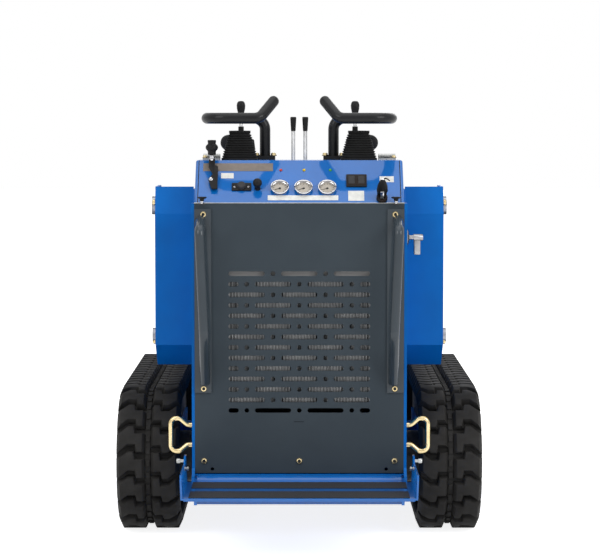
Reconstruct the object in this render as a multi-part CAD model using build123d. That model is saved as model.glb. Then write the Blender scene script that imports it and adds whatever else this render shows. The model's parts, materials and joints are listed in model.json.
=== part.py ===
from build123d import *
import os
from math import atan2, cos, hypot, pi, sin

# Mini skid steer loader. Millimetres, X to the operator's right, Y forward, Z up.
# All places below are measured from the outer face of the rear grille panel (y = 0)
# and the ground (z = 0). The finished machine is moved so that its middle is at y = 0.

# Clearances
seat_gap = 0.3
fit_gap = 0.05
rod_gap = 0.08
weld_sink = 2.0

# Chassis
body_half = 301.0
side_wall = 8.0
floor_wall = 6.0
panel_wall = 4.0
floor_z = 100.0
tail_z = 200.0
tail_cut = 100.0
panel_low_z = 207.0
deck_z = 1082.0
dash_rise = 118.0
slope_run = 112.0
deck_end_y = 290.0
shoulder_drop = 82.0
pivot_ear_half = 45.0
cheek_wall = 10.0
cheek_depth = 152.0
sill_z = 614.0
sill_start_y = 384.0
sill_end_y = 956.0
nose_y = 1180.0
nose_top_z = 440.0
nose_low_z = 150.0
nose_deck = (1120.0, 500.0)

# Rubber tracks
track_width = 180.0
track_gap = 41.5
link_pitch = 62.2
link_count = 44
sprocket_y = 291.0
axle_z = 211.0
inner_depth = 8.0
carcass_height = 17.0
lug_tip = 39.0
lug_column_width = 74.0
lug_top_length = 47.0
lug_foot_length = 53.0
track_bend = 171.9

# Running gear
roller_radius = 55.0
roller_width = 100.0
roller_pitch = 140.0
roller_count = 4
roller_first_y = 495.0
carrier_radius = 35.0
groove_half = 18.0
groove_depth = 16.0
rail_wall = 8.0
rail_gap = 2.0
axle_radius = 12.0
idler_axle_radius = 20.0
sprocket_teeth = 15
sprocket_width = 50.0
motor_radius = 75.0

# Lift towers and loader boom
tower_reach = 109.0
tower_wall = 8.0
tower_rear_y = 120.0
tower_front_y = 330.0
tower_low_z = 490.0
tower_top_z = 1006.5
tower_folds = (556.0, 930.0)
arm_width = 65.0
arm_depth = 100.0
tip_depth = 84.0
boss_width = 91.0
pivot = (220.0, 950.0)
elbow = (1120.0, 860.0)
hitch = (1550.0, 190.0)
pivot_pin_radius = 20.0
cross_tube_radius = 45.0
cross_tube_share = 0.184

# Lift cylinders
lift_base = (220.0, 574.0)
lift_eye = (750.0, 792.0)
lift_barrel_radius = 30.0
lift_barrel_length = 490.0
lift_rod_radius = 15.0
lift_pin_radius = 15.0

# Tilt cylinder
tilt_base = (1250.0, 805.0)
tilt_eye = (1560.0, 330.0)
tilt_barrel_radius = 32.0
tilt_barrel_length = 440.0
tilt_rod_radius = 16.0
tilt_pin_radius = 15.0

# Attachment plate and bucket
plate_margin = 1.0
hinge_clear = 5.0
hinge_ear = 10.0
plate_wall = 16.0
plate_face_y = 1640.0
plate_low_z = 120.0
plate_top_z = 400.0
bucket_half = 490.0
bucket_wall = 8.0
bucket_top_z = 430.0
bucket_floor_z = 12.0
bucket_lip_y = 2090.0
edge_wall = 8.0
edge_reach = 10.0
edge_length = 140.0

# Operator platform
step_pivot = (-21.0, 181.0)
step_tube_radius = 15.0
sleeve_radius = 23.0
step_top_z = 189.0
step_wall = 5.0
step_front_y = -48.0
step_rear_y = -316.0
step_overhang = 16.0
rim_height = 8.0
wing_lean = 3.0
wing_top_z = 250.0
wing_ear_z = 266.0
grip_wall = 2.0

# Hood
hood_gap = 3.0
hood_wall = 4.0
hood_behind_deck = 16.0
hood_under_deck = 4.0
hood_flat = 50.0
hood_fall = 18.0
hood_nose = 50.0
hood_front_y = 950.0
hood_low_z = 620.0
hinge_rise = 8.0

# Rails and handles
rail_radius = 15.4
handle_radius = 14.0

# Places that follow from the sizes above
body_inner = body_half - side_wall
between_sides = body_inner - seat_gap
gauge_half = body_half + track_gap + track_width / 2
tower_outer = body_half + tower_reach
arm_centre = (body_half + tower_outer - tower_wall) / 2
plate_half = arm_centre + arm_width / 2 + hinge_clear + hinge_ear + plate_margin
step_half = body_half + step_overhang
hood_half = body_half - hood_gap
hood_rear_y = deck_end_y + hood_behind_deck
hood_top_z = deck_z - hood_under_deck
hood_pivot = ((deck_end_y + hood_rear_y) / 2 + 2, deck_z + hinge_rise)
panel_top_z = deck_z - dash_rise
cheek_low_z = deck_z - cheek_depth
shoulder_z = deck_z - shoulder_drop
slope_length = hypot(slope_run, dash_rise)
slope_normal = (0, -dash_rise / slope_length, slope_run / slope_length)
# Middle of the machine's length, from its rear step to the bucket's edge
middle_y = (bucket_lip_y + edge_reach + step_rear_y) / 2


def box(x, y, z):
    """A block between the low and high value of each axis."""
    size = (x[1] - x[0], y[1] - y[0], z[1] - z[0])
    return Pos((x[0] + x[1]) / 2, (y[0] + y[1]) / 2, (z[0] + z[1]) / 2) * Box(*size)


def side_extrude(sketch, x0, x1):
    """A side view (y, z) extruded across the machine from x0 to x1."""
    return extrude(Plane.YZ.offset(x0) * sketch, amount=x1 - x0)


def outline(points):
    """A closed outline, always taken counter-clockwise so that it extrudes the same way."""
    area = sum(p[0] * q[1] - q[0] * p[1] for p, q in zip(points, list(points[1:]) + [points[0]]))
    return Polygon(*(points if area > 0 else points[::-1]), align=None)


def disc(centre, radius):
    return Pos(*centre) * Circle(radius)


def cross_rod(x0, x1, centre, radius):
    """A round bar across the machine at a side-view point."""
    return side_extrude(disc(centre, radius), x0, x1)


def crossing(a, b, c, d):
    """Where the line a-b meets the line c-d."""
    r = (b[0] - a[0], b[1] - a[1])
    s = (d[0] - c[0], d[1] - c[1])
    t = ((c[0] - a[0]) * s[1] - (c[1] - a[1]) * s[0]) / (r[0] * s[1] - r[1] * s[0])
    return (a[0] + t * r[0], a[1] + t * r[1])


def bent_sheet(points, wall):
    """Outline of a folded sheet: one face follows the points, the wall lies to their left."""
    moved = []
    for p, q in zip(points, points[1:]):
        run = hypot(q[0] - p[0], q[1] - p[1])
        step = (-(q[1] - p[1]) * wall / run, (q[0] - p[0]) * wall / run)
        moved.append(((p[0] + step[0], p[1] + step[1]), (q[0] + step[0], q[1] + step[1])))
    inner = [moved[0][0]]
    for first, second in zip(moved, moved[1:]):
        inner.append(crossing(*first, *second))
    inner.append(moved[-1][1])
    return outline(list(points) + inner[::-1])


def tube_path(points, radii, tube_radius):
    """A round bar along straight runs joined by arcs."""
    path = FilletPolyline(*points, radius=radii)
    return sweep(Plane(path @ 0, z_dir=path % 0) * Circle(tube_radius), path)


def turned(points):
    """A solid turned about Z from half-profile points (radius, height)."""
    return revolve(Plane.XZ * outline(points), axis=Axis.Z)


def along(x, centre, angle):
    """A frame at a side-view point, its Z along a line at that angle from +Y towards +Z."""
    return Plane(origin=(x, *centre), x_dir=(1, 0, 0), z_dir=(0, cos(angle), sin(angle))).location


def on_slope(x, share):
    """A frame on the instrument slope, share of the way up it."""
    origin = (x, slope_run * share, panel_top_z + dash_rise * share)
    return Plane(origin=origin, x_dir=(1, 0, 0), z_dir=slope_normal).location


def both(name, right_piece):
    """Save a right-hand piece and its left-hand twin."""
    save(name + "_right", right_piece)
    save(name + "_left", mirror(right_piece, about=Plane.YZ))


def save(node, *pieces):
    shape = pieces[0] if len(pieces) == 1 else Compound(children=list(pieces))
    export_step(shape.moved(Location((0, -middle_y, 0))), f"parts/{node}.step")


os.makedirs("parts", exist_ok=True)

# Side plates
side_points = [
    (0, tail_z),
    (0, panel_top_z),
    (slope_run - 22, panel_top_z),
    (slope_run + 8, shoulder_z),
    (deck_end_y + 40, shoulder_z),
    (sill_start_y, sill_z),
    (sill_end_y, sill_z),
    nose_deck,
    (nose_y, nose_top_z),
    (nose_y, nose_low_z),
    (nose_y - 80, floor_z),
    (tail_cut, floor_z),
]
step_lug_radius = step_tube_radius + 5
side_sketch = outline(side_points) + disc(step_pivot, step_lug_radius)
side_sketch += outline([
    (step_pivot[0], step_pivot[1] + step_lug_radius),
    (1, tail_z + 22),
    (tail_cut * 0.6, floor_z + 40),
    (step_pivot[0], step_pivot[1] - step_lug_radius),
])
# An ear that carries the boom pivot, whatever the height of the shoulder
side_sketch += disc(pivot, pivot_ear_half) + outline([
    (pivot[0] - pivot_ear_half, pivot[1]), (pivot[0] + pivot_ear_half, pivot[1]),
    (pivot[0] + pivot_ear_half, sill_z), (pivot[0] - pivot_ear_half, sill_z)])
for centre, radius in ((pivot, pivot_pin_radius), (lift_base, lift_pin_radius)):
    side_sketch -= disc(centre, radius + fit_gap)
both("side_plate", side_extrude(side_sketch, body_inner, body_half))

# Floor and nose of the chassis, folded sheets between the side plates
belly = bent_sheet([(0, tail_z), (tail_cut, floor_z), (nose_y - 80, floor_z), (nose_y, nose_low_z)],
                   floor_wall)
save("belly_plate", side_extrude(belly, -between_sides, between_sides))
nose = bent_sheet([(nose_y, nose_low_z + 8), (nose_y, nose_top_z), nose_deck, (sill_end_y, sill_z)],
                  floor_wall)
save("nose_plate", side_extrude(nose, -between_sides, between_sides))

# Rear grille panel: fourteen rows of slots and holes
slot_height = 13.0
slot_length = 101.0
slot_step = 147.0
short_slot_length = 28.6
short_slot_x = 184.0
row_count = 14
row_step = 29.57
row_first_z = 768.0
panel_sketch = Pos(0, (panel_low_z + panel_top_z) / 2) * Rectangle(
    2 * between_sides, panel_top_z - panel_low_z)
# columns: (slot length, its places across the panel)
odd_row = [(slot_length, (-slot_step, 0, slot_step)), (slot_height, (-slot_step / 2, slot_step / 2))]
even_row = [
    (slot_length, (-slot_step / 2, slot_step / 2)),
    (slot_height, (-slot_step, 0, slot_step)),
    (short_slot_length, (-short_slot_x, short_slot_x)),
]
slots = Sketch()
for row in range(row_count):
    z = row_first_z - row * row_step
    for length, places in (odd_row if row % 2 == 0 else even_row):
        for x in places:
            hole = Circle(slot_height / 2) if length <= slot_height else SlotOverall(length, slot_height)
            slots += Pos(x, z) * hole
panel_sketch -= slots
drain_x = 244.0
drain_z = 218.0
drain_radius = 5.0
for side in (-1, 1):
    panel_sketch -= disc((side * drain_x, drain_z), drain_radius)
save("grille_panel", extrude(Plane.XZ * panel_sketch, amount=-panel_wall))

# Radiator behind the grille, bolted between the side plates
core_margin = 42.7
core_gap = 12.0
core_depth = 50.0
core_low_z = 405.0
core_under_panel = 84.0
core_top_z = panel_top_z - core_under_panel
core_half = between_sides - core_margin
core_y = panel_wall + core_gap
core = box((-core_half, core_half), (core_y, core_y + core_depth), (core_low_z, core_top_z))
strap_wall = 6.0
strap_height = 60.0
for side in (-1, 1):
    x0, x1 = sorted((side * core_half, side * between_sides))
    for z in (core_low_z + 40, core_top_z - 40 - strap_height):
        core += box((x0, x1), (core_y + 20, core_y + 20 + strap_wall), (z, z + strap_height))
save("radiator_core", core)

# Engine, one closed block on four feet
engine_half = 190.0
engine_y = (330.0, 860.0)
engine_z = (190.0, 720.0)
foot_half = 30.0
foot_inset = 60.0
engine = box((-engine_half, engine_half), engine_y, engine_z)
for x in (foot_inset - engine_half - 20, engine_half + 20 - foot_inset):
    for y in (engine_y[0] + foot_inset, engine_y[1] - foot_inset):
        engine += box((x - foot_half, x + foot_half), (y - foot_half, y + foot_half),
                      (floor_z + floor_wall, engine_z[0]))
save("engine_block", engine)

# Instrument slope and control deck: a folded sheet between two round-edged cheeks
dash_points = [(0, panel_top_z), (slope_run, deck_z), (deck_end_y, deck_z)]
dash_face = bent_sheet(dash_points[::-1], panel_wall)
trim = 100.0
dash_face -= Pos(0, panel_top_z - trim / 2) * Rectangle(trim, trim)
cheek_inner = between_sides - cheek_wall
cheek_edge = 7.0
seam_width = 1.5
dash = side_extrude(dash_face, -cheek_inner - 1, cheek_inner + 1)
cheek_start_y = panel_wall + seat_gap
cheek_outline = outline(dash_points + [
    (deck_end_y, cheek_low_z), (cheek_start_y, cheek_low_z), (cheek_start_y, panel_top_z)])
cheek = side_extrude(cheek_outline, cheek_inner, between_sides)
round_edges = cheek.edges().filter_by(
    lambda e: e.center().X > between_sides - 0.1 and e.center().Z > panel_top_z + 20
    and e.center().Y < deck_end_y - 1)
cheek = fillet(round_edges, cheek_edge)
dash += cheek + mirror(cheek, about=Plane.YZ)
for side in (-1, 1):
    x = side * (cheek_inner + seam_width / 2)
    dash -= on_slope(x, 0.5) * Box(seam_width, slope_length + trim, 2 * seam_width)
    dash -= box((x - seam_width / 2, x + seam_width / 2), (slope_run, deck_end_y + 1),
                (deck_z - seam_width, deck_z + 1))
save("dash_panel", dash)

# Gauges
gauge_radius = 26.0
gauge_step = 66.4
gauge_middle_x = 11.9
gauge_share = 0.33
gauge_height = 12.0
bezel = 4.0
dial_depth = 8.0
ring = Pos(0, 0, gauge_height / 2) * Cylinder(gauge_radius, gauge_height)
ring -= Pos(0, 0, gauge_height) * Cylinder(gauge_radius - bezel, 2 * dial_depth)
gauges = [on_slope(gauge_middle_x + place * gauge_step, gauge_share) * ring for place in (-1, 0, 1)]
save("gauges", *gauges)

# Switches and knobs on the slope; columns: x, share up the slope, radius, height
knob_rows = [
    (-116.8, 0.345, 12.9, 36.0),
    (234.6, 0.22, 16.0, 34.0),
]
controls = [on_slope(x, share) * Pos(0, 0, h / 2) * Cylinder(r, h) for x, share, r, h in knob_rows]
# columns: x, share up the slope, width, height along the slope, standing out
switch_rows = [
    (160.5, 0.5, 57.0, 46.0, 8.0),
    (-163.2, 0.37, 54.0, 28.0, 4.0),
]
for x, share, width, height, out in switch_rows:
    controls.append(on_slope(x, share) * Pos(0, 0, out / 2) * Box(width, height, out))
# Hand knobs on small ledges, clamping the grille panel's top corners
clamp_profile = [(0, -1), (4.5, -1), (4.5, 8), (7, 8), (7, 13), (13, 15), (13, 19), (0, 19)]
clamp_y = -14.5
clamp = Pos(0, clamp_y, 0) * turned(clamp_profile)
clamp += box((-8, 8), (clamp_y - 7, 0), (-4, 0))
for x in (30.5 - body_half, body_half - 32.1):
    controls.append(Pos(x, 0, panel_top_z) * clamp)
save("dash_controls", *controls)

# Throttle lever at the left of the slope: a cranked plate on a pivot boss, with a ball knob
lever_x = 54.0 - body_half
lever_lift = 8.0
lever_wall = 4.0
pivot_up = 86.0
lever_top = slope_length - 4.69
# columns: across from the knob's line, distance up the slope
lever_points = [(-8, lever_top), (9, lever_top), (10, 134), (18, 128), (18, 45), (1, 45), (-8, 81), (-4, 88), (4, 100),
                (-8, 128)]
lever_plate = extrude(outline(lever_points), amount=lever_wall)
lever = on_slope(lever_x, 0) * Pos(0, 0, lever_lift) * lever_plate
lever += on_slope(lever_x + 6, pivot_up / slope_length) * Pos(0, 0, lever_lift / 2) * Cylinder(7, lever_lift)
knob_y = slope_run - 11.0
knob_profile = [(0, -9), (6, -9), (6, 0), (12, 0), (11.5, 10), (12, 20), (17.7, 28), (17.7, 33), (12, 40),
                (12, 52), (0, 52)]
lever += Pos(lever_x, knob_y, deck_z + 5) * turned(knob_profile)
save("throttle_lever", lever)

# Joysticks: a ribbed boot, a shaft and a pear-shaped knob
boot_inset = 131.0
stick_lean = 7.0
stick_y = 180.0
boot_x = body_half - boot_inset
stick_x = boot_x - stick_lean
flange_size = (110.0, 104.0, 6.0)
boot_base = 98.0
boot_top = 62.0
boot_height = 83.0
flange = extrude(RectangleRounded(flange_size[0], flange_size[1], 12), amount=flange_size[2])
boot = loft([Plane.XY.offset(flange_size[2]) * RectangleRounded(boot_base, boot_base, 10),
             Plane.XY.offset(boot_height) * RectangleRounded(boot_top, boot_top, 8)])
shaft = turned([(0, boot_height), (9, boot_height), (9, 96), (4.5, 100), (4.5, 128), (7, 132),
                (12, 150), (11, 162), (6, 168), (0, 168)])
both("joystick", Pos(boot_x, stick_y, deck_z) * (flange + boot) + Pos(stick_x, stick_y, deck_z) * shaft)

# Hand rails on flanges
rail_z = deck_z + 118.5
rail_post = (99.0, 255.0)
rail_out_x = body_half - 41.0
rail_near_y = 30.0
rail_tip = (72.6, 90.0, deck_z + 166.0)
rail_corner_x = 111.0
rail_points = [
    (rail_post[0], rail_post[1], deck_z + 8),
    (rail_post[0], rail_post[1], rail_z),
    (rail_out_x, rail_post[1], rail_z),
    (rail_out_x, rail_near_y, rail_z),
    (rail_corner_x, rail_near_y, rail_z),
    rail_tip,
]
rail = tube_path(rail_points, [32, 60, 60, 26], rail_radius)
rail += Pos(*rail_tip) * Sphere(rail_radius)
rail += Pos(rail_post[0], rail_post[1], deck_z + 5) * Box(59, 40, 10)
both("hand_rail", rail)

# Two short levers for the auxiliary hydraulics
aux_x = 17.4
aux_y = 170.0
aux_profile = [(0, 0), (5.6, 0), (5.6, 83), (6.6, 83), (8.7, 120), (7.5, 122.5), (0, 122.5)]
aux = [Pos(side * aux_x, aux_y, deck_z) * turned(aux_profile) for side in (-1, 1)]
save("aux_levers", *aux)

# Grab handles on strip plates at the rear corners
strip_x = body_half - 32.0
strip_half = 23.5
strip_wall = 5.0
grab_reach = 75.0
grab_lean = 6.0
strip_z = (434.0, panel_top_z - 15.0)
grab_points = [(strip_x - grab_lean, -strip_wall - 1, strip_z[0] + 28),
               (strip_x - grab_lean, -grab_reach, strip_z[0] + 169),
               (strip_x + grab_lean, -grab_reach, strip_z[1] - 58),
               (strip_x + grab_lean, -strip_wall - 1, strip_z[1] - 31)]
grab = tube_path(grab_points, [45, 20], handle_radius)
grab += box((strip_x - strip_half, strip_x + strip_half), (-strip_wall, 0), strip_z)
grab -= box((strip_x - 70, strip_x + 70), (0, 60), (strip_z[0] - 34, strip_z[1] + 51))
both("grab_handle", grab)

# Tie-down loops of bent rod at the lower rear of the side plates
loop_radius = 7.0
loop_y = 50.0
loop_reach = 62.3
loop_z = 308.0
# columns: out from the side plate, above the loop's middle
loop_half = [(0, 28), (15, 28), (37, 46.5), (loop_reach, 46.5)]
loop_points = [(body_half + out, loop_y, loop_z + up) for out, up in loop_half]
loop_points += [(body_half + out, loop_y, loop_z - up) for out, up in loop_half[::-1]]
loop = tube_path(loop_points, [15, 17, 17, 17, 17, 15], loop_radius)
loop -= box((200, body_half), (0, 100), (200, 400))
save("tie_down_loops", loop, mirror(loop, about=Plane.YZ))

# Latch handle on the right side plate
latch_place = (45.0, 867.0)
latch = cross_rod(body_half, body_half + 6, latch_place, 22.5)
latch += cross_rod(body_half + 6, body_half + 20, latch_place, 7)
latch += cross_rod(body_half + 20, body_half + 46, latch_place, 9.2)
latch += box((body_half + 20, body_half + 39), (latch_place[0] - 4, latch_place[0] + 4),
             (latch_place[1] - 49, latch_place[1]))
save("latch_handle", latch)

# Towers: an outer plate, a folded rear cover and a bottom plate
tower_points = [
    (tower_rear_y, tower_folds[0]), (tower_rear_y, tower_folds[1]), (tower_rear_y + 27, tower_top_z),
    (tower_front_y - 40, tower_top_z), (tower_front_y, tower_top_z - 46), (tower_front_y, tower_low_z + 150),
    (tower_front_y - 30, tower_low_z), (tower_rear_y + 90, tower_low_z)]
tower_plate = outline(tower_points)
for centre, radius in ((pivot, pivot_pin_radius), (lift_base, lift_pin_radius)):
    tower_plate -= disc(centre, radius + fit_gap)
tower = side_extrude(tower_plate, tower_outer - tower_wall, tower_outer)
cover = bent_sheet([tower_points[6], tower_points[7], tower_points[0], tower_points[1], tower_points[2]][::-1],
                   tower_wall)
tower += side_extrude(cover, body_half, tower_outer - tower_wall)
both("tower", tower)

# Pins of the boom and of the lift cylinders, with collars and heads
pins = []
pin_head = 14.0
for centre, radius, gap in ((pivot, pivot_pin_radius, boss_width / 2), (lift_base, lift_pin_radius, 30.0)):
    pin = cross_rod(body_inner, tower_outer, centre, radius)
    pin += cross_rod(tower_outer, tower_outer + pin_head, centre, radius + 6)
    pin += cross_rod(body_half, arm_centre - gap - 1, centre, radius + 8)
    pin += cross_rod(arm_centre + gap + 1, tower_outer - tower_wall, centre, radius + 8)
    pins.append(pin)
save("boom_pins", *pins, *[mirror(pin, about=Plane.YZ) for pin in pins])

# Loader arms
upper_run = hypot(elbow[0] - pivot[0], elbow[1] - pivot[1])
lower_run = hypot(hitch[0] - elbow[0], hitch[1] - elbow[1])
upper_dir = ((elbow[0] - pivot[0]) / upper_run, (elbow[1] - pivot[1]) / upper_run)
lower_dir = ((hitch[0] - elbow[0]) / lower_run, (hitch[1] - elbow[1]) / lower_run)


def beside(point, direction, offset):
    return (point[0] - direction[1] * offset, point[1] + direction[0] * offset)


arm_half = arm_depth / 2
tip_half = tip_depth / 2
top_a = beside(pivot, upper_dir, arm_half)
low_a = beside(pivot, upper_dir, -arm_half)
top_line = (top_a, beside(elbow, upper_dir, arm_half))
low_line = (low_a, beside(elbow, upper_dir, -arm_half))
top_leg = (beside(elbow, lower_dir, arm_half), beside(hitch, lower_dir, tip_half))
low_leg = (beside(elbow, lower_dir, -arm_half), beside(hitch, lower_dir, -tip_half))
arm_sketch = outline([top_a, crossing(*top_line, *top_leg), top_leg[1], low_leg[1],
                      crossing(*low_line, *low_leg), low_a])
arm_sketch += disc(pivot, arm_half + 2) + disc(hitch, tip_half + 2)
arm = side_extrude(arm_sketch, arm_centre - arm_width / 2, arm_centre + arm_width / 2)
arm += cross_rod(arm_centre - boss_width / 2, arm_centre + boss_width / 2, pivot, arm_half - 8)
ear_inner = 20.0
ear_wall = 12.0
ear_radius = 30.0
ear_sketch = outline([(690, 880), (830, 866), (lift_eye[0] + 28, lift_eye[1] - 10),
                      (lift_eye[0] - 28, lift_eye[1] - 10)]) + disc(lift_eye, ear_radius)
for side in (-1, 1):
    x0, x1 = sorted((arm_centre + side * ear_inner, arm_centre + side * (ear_inner + ear_wall)))
    arm += side_extrude(ear_sketch, x0, x1)
arm -= cross_rod(arm_centre - 80, arm_centre + 80, pivot, pivot_pin_radius + fit_gap)
arm -= cross_rod(arm_centre - 80, arm_centre + 80, hitch, pivot_pin_radius + fit_gap)
both("loader_arm", arm)

# Cross tube between the arms, with the ears of the tilt cylinder
tube_centre = (elbow[0] + cross_tube_share * (hitch[0] - elbow[0]),
               elbow[1] + cross_tube_share * (hitch[1] - elbow[1]))
tube_end = arm_centre - arm_width / 2
tilt_ear_inner = 38.0
tilt_eye_half = 30.0
tilt_ear_wall = 12.0
tube = cross_rod(-tube_end, tube_end, tube_centre, cross_tube_radius)
tilt_ear = outline([
    (tube_centre[0] - 30, tube_centre[1] + 10),
    (tilt_base[0] - 26, tilt_base[1] + 10),
    (tilt_base[0] + 26, tilt_base[1] - 10),
    (tube_centre[0] + 34, tube_centre[1] - 6),
]) + disc(tilt_base, 28)
for side in (-1, 1):
    x0, x1 = sorted((side * tilt_ear_inner, side * (tilt_ear_inner + tilt_ear_wall)))
    tube += side_extrude(tilt_ear, x0, x1)
tilt_pin_end = tilt_ear_inner + tilt_ear_wall + 6
tube += cross_rod(-tilt_pin_end, tilt_pin_end, tilt_base, tilt_pin_radius)
for side in (-1, 1):
    x0, x1 = sorted((side * (tilt_eye_half + 1), side * (tilt_ear_inner + 1)))
    tube += cross_rod(x0, x1, tilt_base, tilt_pin_radius + 7)
save("cross_tube", tube)


def barrel(radius, length, rod_radius, pin_radius, eye_radius, eye_half):
    """A hydraulic barrel from its base eye at the origin, open for its rod."""
    wall = 5.0
    gland = 30.0
    neck = 20.0
    start = eye_radius + 10.0
    base = start + 15.0
    bore = rod_radius + rod_gap
    body = turned([(0, eye_radius - 8), (neck, eye_radius - 8), (neck, start), (radius, start),
                   (radius, length - gland), (radius + 2, length - gland), (radius + 2, length),
                   (bore, length), (bore, length - gland), (radius - wall, length - gland),
                   (radius - wall, base), (0, base)])
    body += Rot(0, 90, 0) * Cylinder(eye_radius, 2 * eye_half)
    return body - Rot(0, 90, 0) * Cylinder(pin_radius + fit_gap, 4 * eye_half)


def rod(radius, reach, piston_at, barrel_radius, eye_radius, eye_half, pin_radius):
    """A piston rod ending in an eye, reach from the barrel's base pin."""
    piston = barrel_radius - 5.0 - seat_gap
    body = turned([(0, piston_at), (piston, piston_at), (piston, piston_at + 30),
                   (radius, piston_at + 30), (radius, reach - eye_radius + 6),
                   (0, reach - eye_radius + 6)])
    body += Pos(0, 0, reach) * Rot(0, 90, 0) * Cylinder(eye_radius, 2 * eye_half)
    return body - Pos(0, 0, reach) * Rot(0, 90, 0) * Cylinder(pin_radius, 4 * eye_half)


# Lift cylinders
lift_angle = atan2(lift_eye[1] - lift_base[1], lift_eye[0] - lift_base[0])
lift_reach = hypot(lift_eye[0] - lift_base[0], lift_eye[1] - lift_base[1])
lift_frame = along(arm_centre, lift_base, lift_angle)
lift_barrel = lift_frame * barrel(lift_barrel_radius, lift_barrel_length, lift_rod_radius,
                                  lift_pin_radius, 32, 30)
lift_rod = lift_frame * rod(lift_rod_radius, lift_reach, 62, lift_barrel_radius, 26, 15, 12)
for side, shift in (("right", 0), ("left", -2 * arm_centre)):
    save("lift_barrel_" + side, Pos(shift, 0, 0) * lift_barrel)
    save("lift_rod_" + side, Pos(shift, 0, 0) * lift_rod)

# Tilt cylinder
tilt_angle = atan2(tilt_eye[1] - tilt_base[1], tilt_eye[0] - tilt_base[0])
tilt_reach = hypot(tilt_eye[0] - tilt_base[0], tilt_eye[1] - tilt_base[1])
tilt_frame = along(0, tilt_base, tilt_angle)
save("tilt_barrel", tilt_frame * barrel(tilt_barrel_radius, tilt_barrel_length, tilt_rod_radius,
                                        tilt_pin_radius, 28, tilt_eye_half))
save("tilt_rod", tilt_frame * rod(tilt_rod_radius, tilt_reach, 130, tilt_barrel_radius, 26, 19, 12))

# Attachment plate: a frame plate with hinge ears for the arms and ears for the tilt rod
plate_back_y = plate_face_y - plate_wall
plate_sketch = Pos(0, (plate_low_z + plate_top_z) / 2) * Rectangle(2 * plate_half, plate_top_z - plate_low_z)
plate_sketch -= Pos(0, 300) * RectangleRounded(150, 120, 12)
attach = extrude(Plane.XZ.offset(-plate_back_y) * plate_sketch, amount=-plate_wall)
hinge_ear_sketch = outline([(plate_back_y + weld_sink, 130), (plate_back_y + weld_sink, 300),
                            (hitch[0] - 10, hitch[1] + 38), (hitch[0] - 10, hitch[1] - 38)])
hinge_ear_sketch += disc(hitch, 40)
for side in (-1, 1):
    for edge in (-1, 1):
        near = arm_centre + edge * (arm_width / 2 + hinge_clear)
        far = near + edge * hinge_ear
        x0, x1 = sorted((side * near, side * far))
        attach += side_extrude(hinge_ear_sketch, x0, x1)
    pin_end = arm_width / 2 + hinge_clear + hinge_ear + 8
    x0, x1 = sorted((side * (arm_centre - pin_end), side * (arm_centre + pin_end)))
    attach += cross_rod(x0, x1, hitch, pivot_pin_radius)
rod_ear_inner = 24.0
rod_ear_sketch = outline([(plate_back_y + weld_sink, 250), (plate_back_y + weld_sink, 390),
                          (tilt_eye[0] - 6, tilt_eye[1] + 26), (tilt_eye[0] - 6, tilt_eye[1] - 26)])
rod_ear_sketch += disc(tilt_eye, 28)
rod_ear_wall = 12.0
for side in (-1, 1):
    x0, x1 = sorted((side * rod_ear_inner, side * (rod_ear_inner + rod_ear_wall)))
    attach += side_extrude(rod_ear_sketch, x0, x1)
save("attachment_plate", attach)

# Bucket
bucket_path = [(plate_face_y, bucket_top_z), (plate_face_y, 120), (plate_face_y + 90, bucket_floor_z),
               (bucket_lip_y, bucket_floor_z)]
bucket = side_extrude(bent_sheet(bucket_path, bucket_wall), -bucket_half, bucket_half)
cheek = outline(bucket_path + [(bucket_lip_y - 20, 70), (plate_face_y + 130, bucket_top_z)])
cheek_bolt = (bucket_lip_y - 60, 50)
cheek_bolt_radius = 8.5
cheek -= disc(cheek_bolt, cheek_bolt_radius)
for side in (-1, 1):
    x0, x1 = sorted((side * (bucket_half - bucket_wall), side * bucket_half))
    bucket += side_extrude(cheek, x0, x1)
save("bucket_shell", bucket)
edge_y = (bucket_lip_y + edge_reach - edge_length, bucket_lip_y + edge_reach)
save("cutting_edge", box((-bucket_half, bucket_half), edge_y, (bucket_floor_z - edge_wall, bucket_floor_z)))

# Platform hinge tube between the side plates
save("platform_hinge_tube", cross_rod(-body_inner, body_inner, step_pivot, step_tube_radius))

# Platform: a folded deck with side wings, a rear rim, a stiffener and a sleeve on the hinge tube
step_low_z = step_top_z - step_wall
fold_radius = 8.0
wing_x = step_half + wing_lean
wing_cross = outline([
    (step_half - step_wall, step_low_z), (step_half, step_low_z), (wing_x, wing_ear_z), (wing_x - step_wall, wing_ear_z)])
wing_run = step_front_y - step_rear_y
wing_bar = extrude(Plane.XZ.offset(-step_rear_y) * wing_cross, amount=-wing_run)
wing_side = outline([
    (step_front_y, step_low_z), (step_front_y, wing_ear_z), (step_front_y - 26, wing_ear_z),
    (step_front_y - 62, wing_top_z), (step_rear_y + 10, wing_top_z), (step_rear_y, wing_top_z - 14),
    (step_rear_y, step_low_z)])
wing = wing_bar & side_extrude(wing_side, step_half - 10, wing_x + 10)
deck = box((-step_half + 1, step_half - 1), (step_rear_y, step_front_y), (step_low_z, step_top_z))
deck += wing + mirror(wing, about=Plane.YZ)
fold_edges = deck.edges().filter_by(
    lambda e: abs(abs(e.center().X) - step_half) < 0.1 and abs(e.center().Z - step_low_z) < 0.1)
rim_half = step_half - fold_radius
deck += box((-rim_half, rim_half), (step_rear_y, step_rear_y + step_wall), (step_top_z - rim_height, step_top_z))
brace_half = 281.0
brace_drop = 13.0
deck += box((-brace_half, brace_half), (step_rear_y + 20, step_rear_y + 70), (step_low_z - brace_drop, step_low_z))
tab_half = 4.0
for side in (-1, 1):
    x = side * (brace_half - tab_half)
    deck += box((x - tab_half, x + tab_half), (step_rear_y, step_rear_y + 20 + weld_sink),
                (step_low_z - brace_drop, step_low_z))
sleeve_half = body_inner - 8.0
web_half = 9.0
link = outline([
    (step_pivot[0], step_pivot[1] - web_half), (step_front_y - weld_sink, step_low_z),
    (step_front_y - weld_sink, step_top_z), (step_pivot[0], step_pivot[1] + web_half)])
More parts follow.
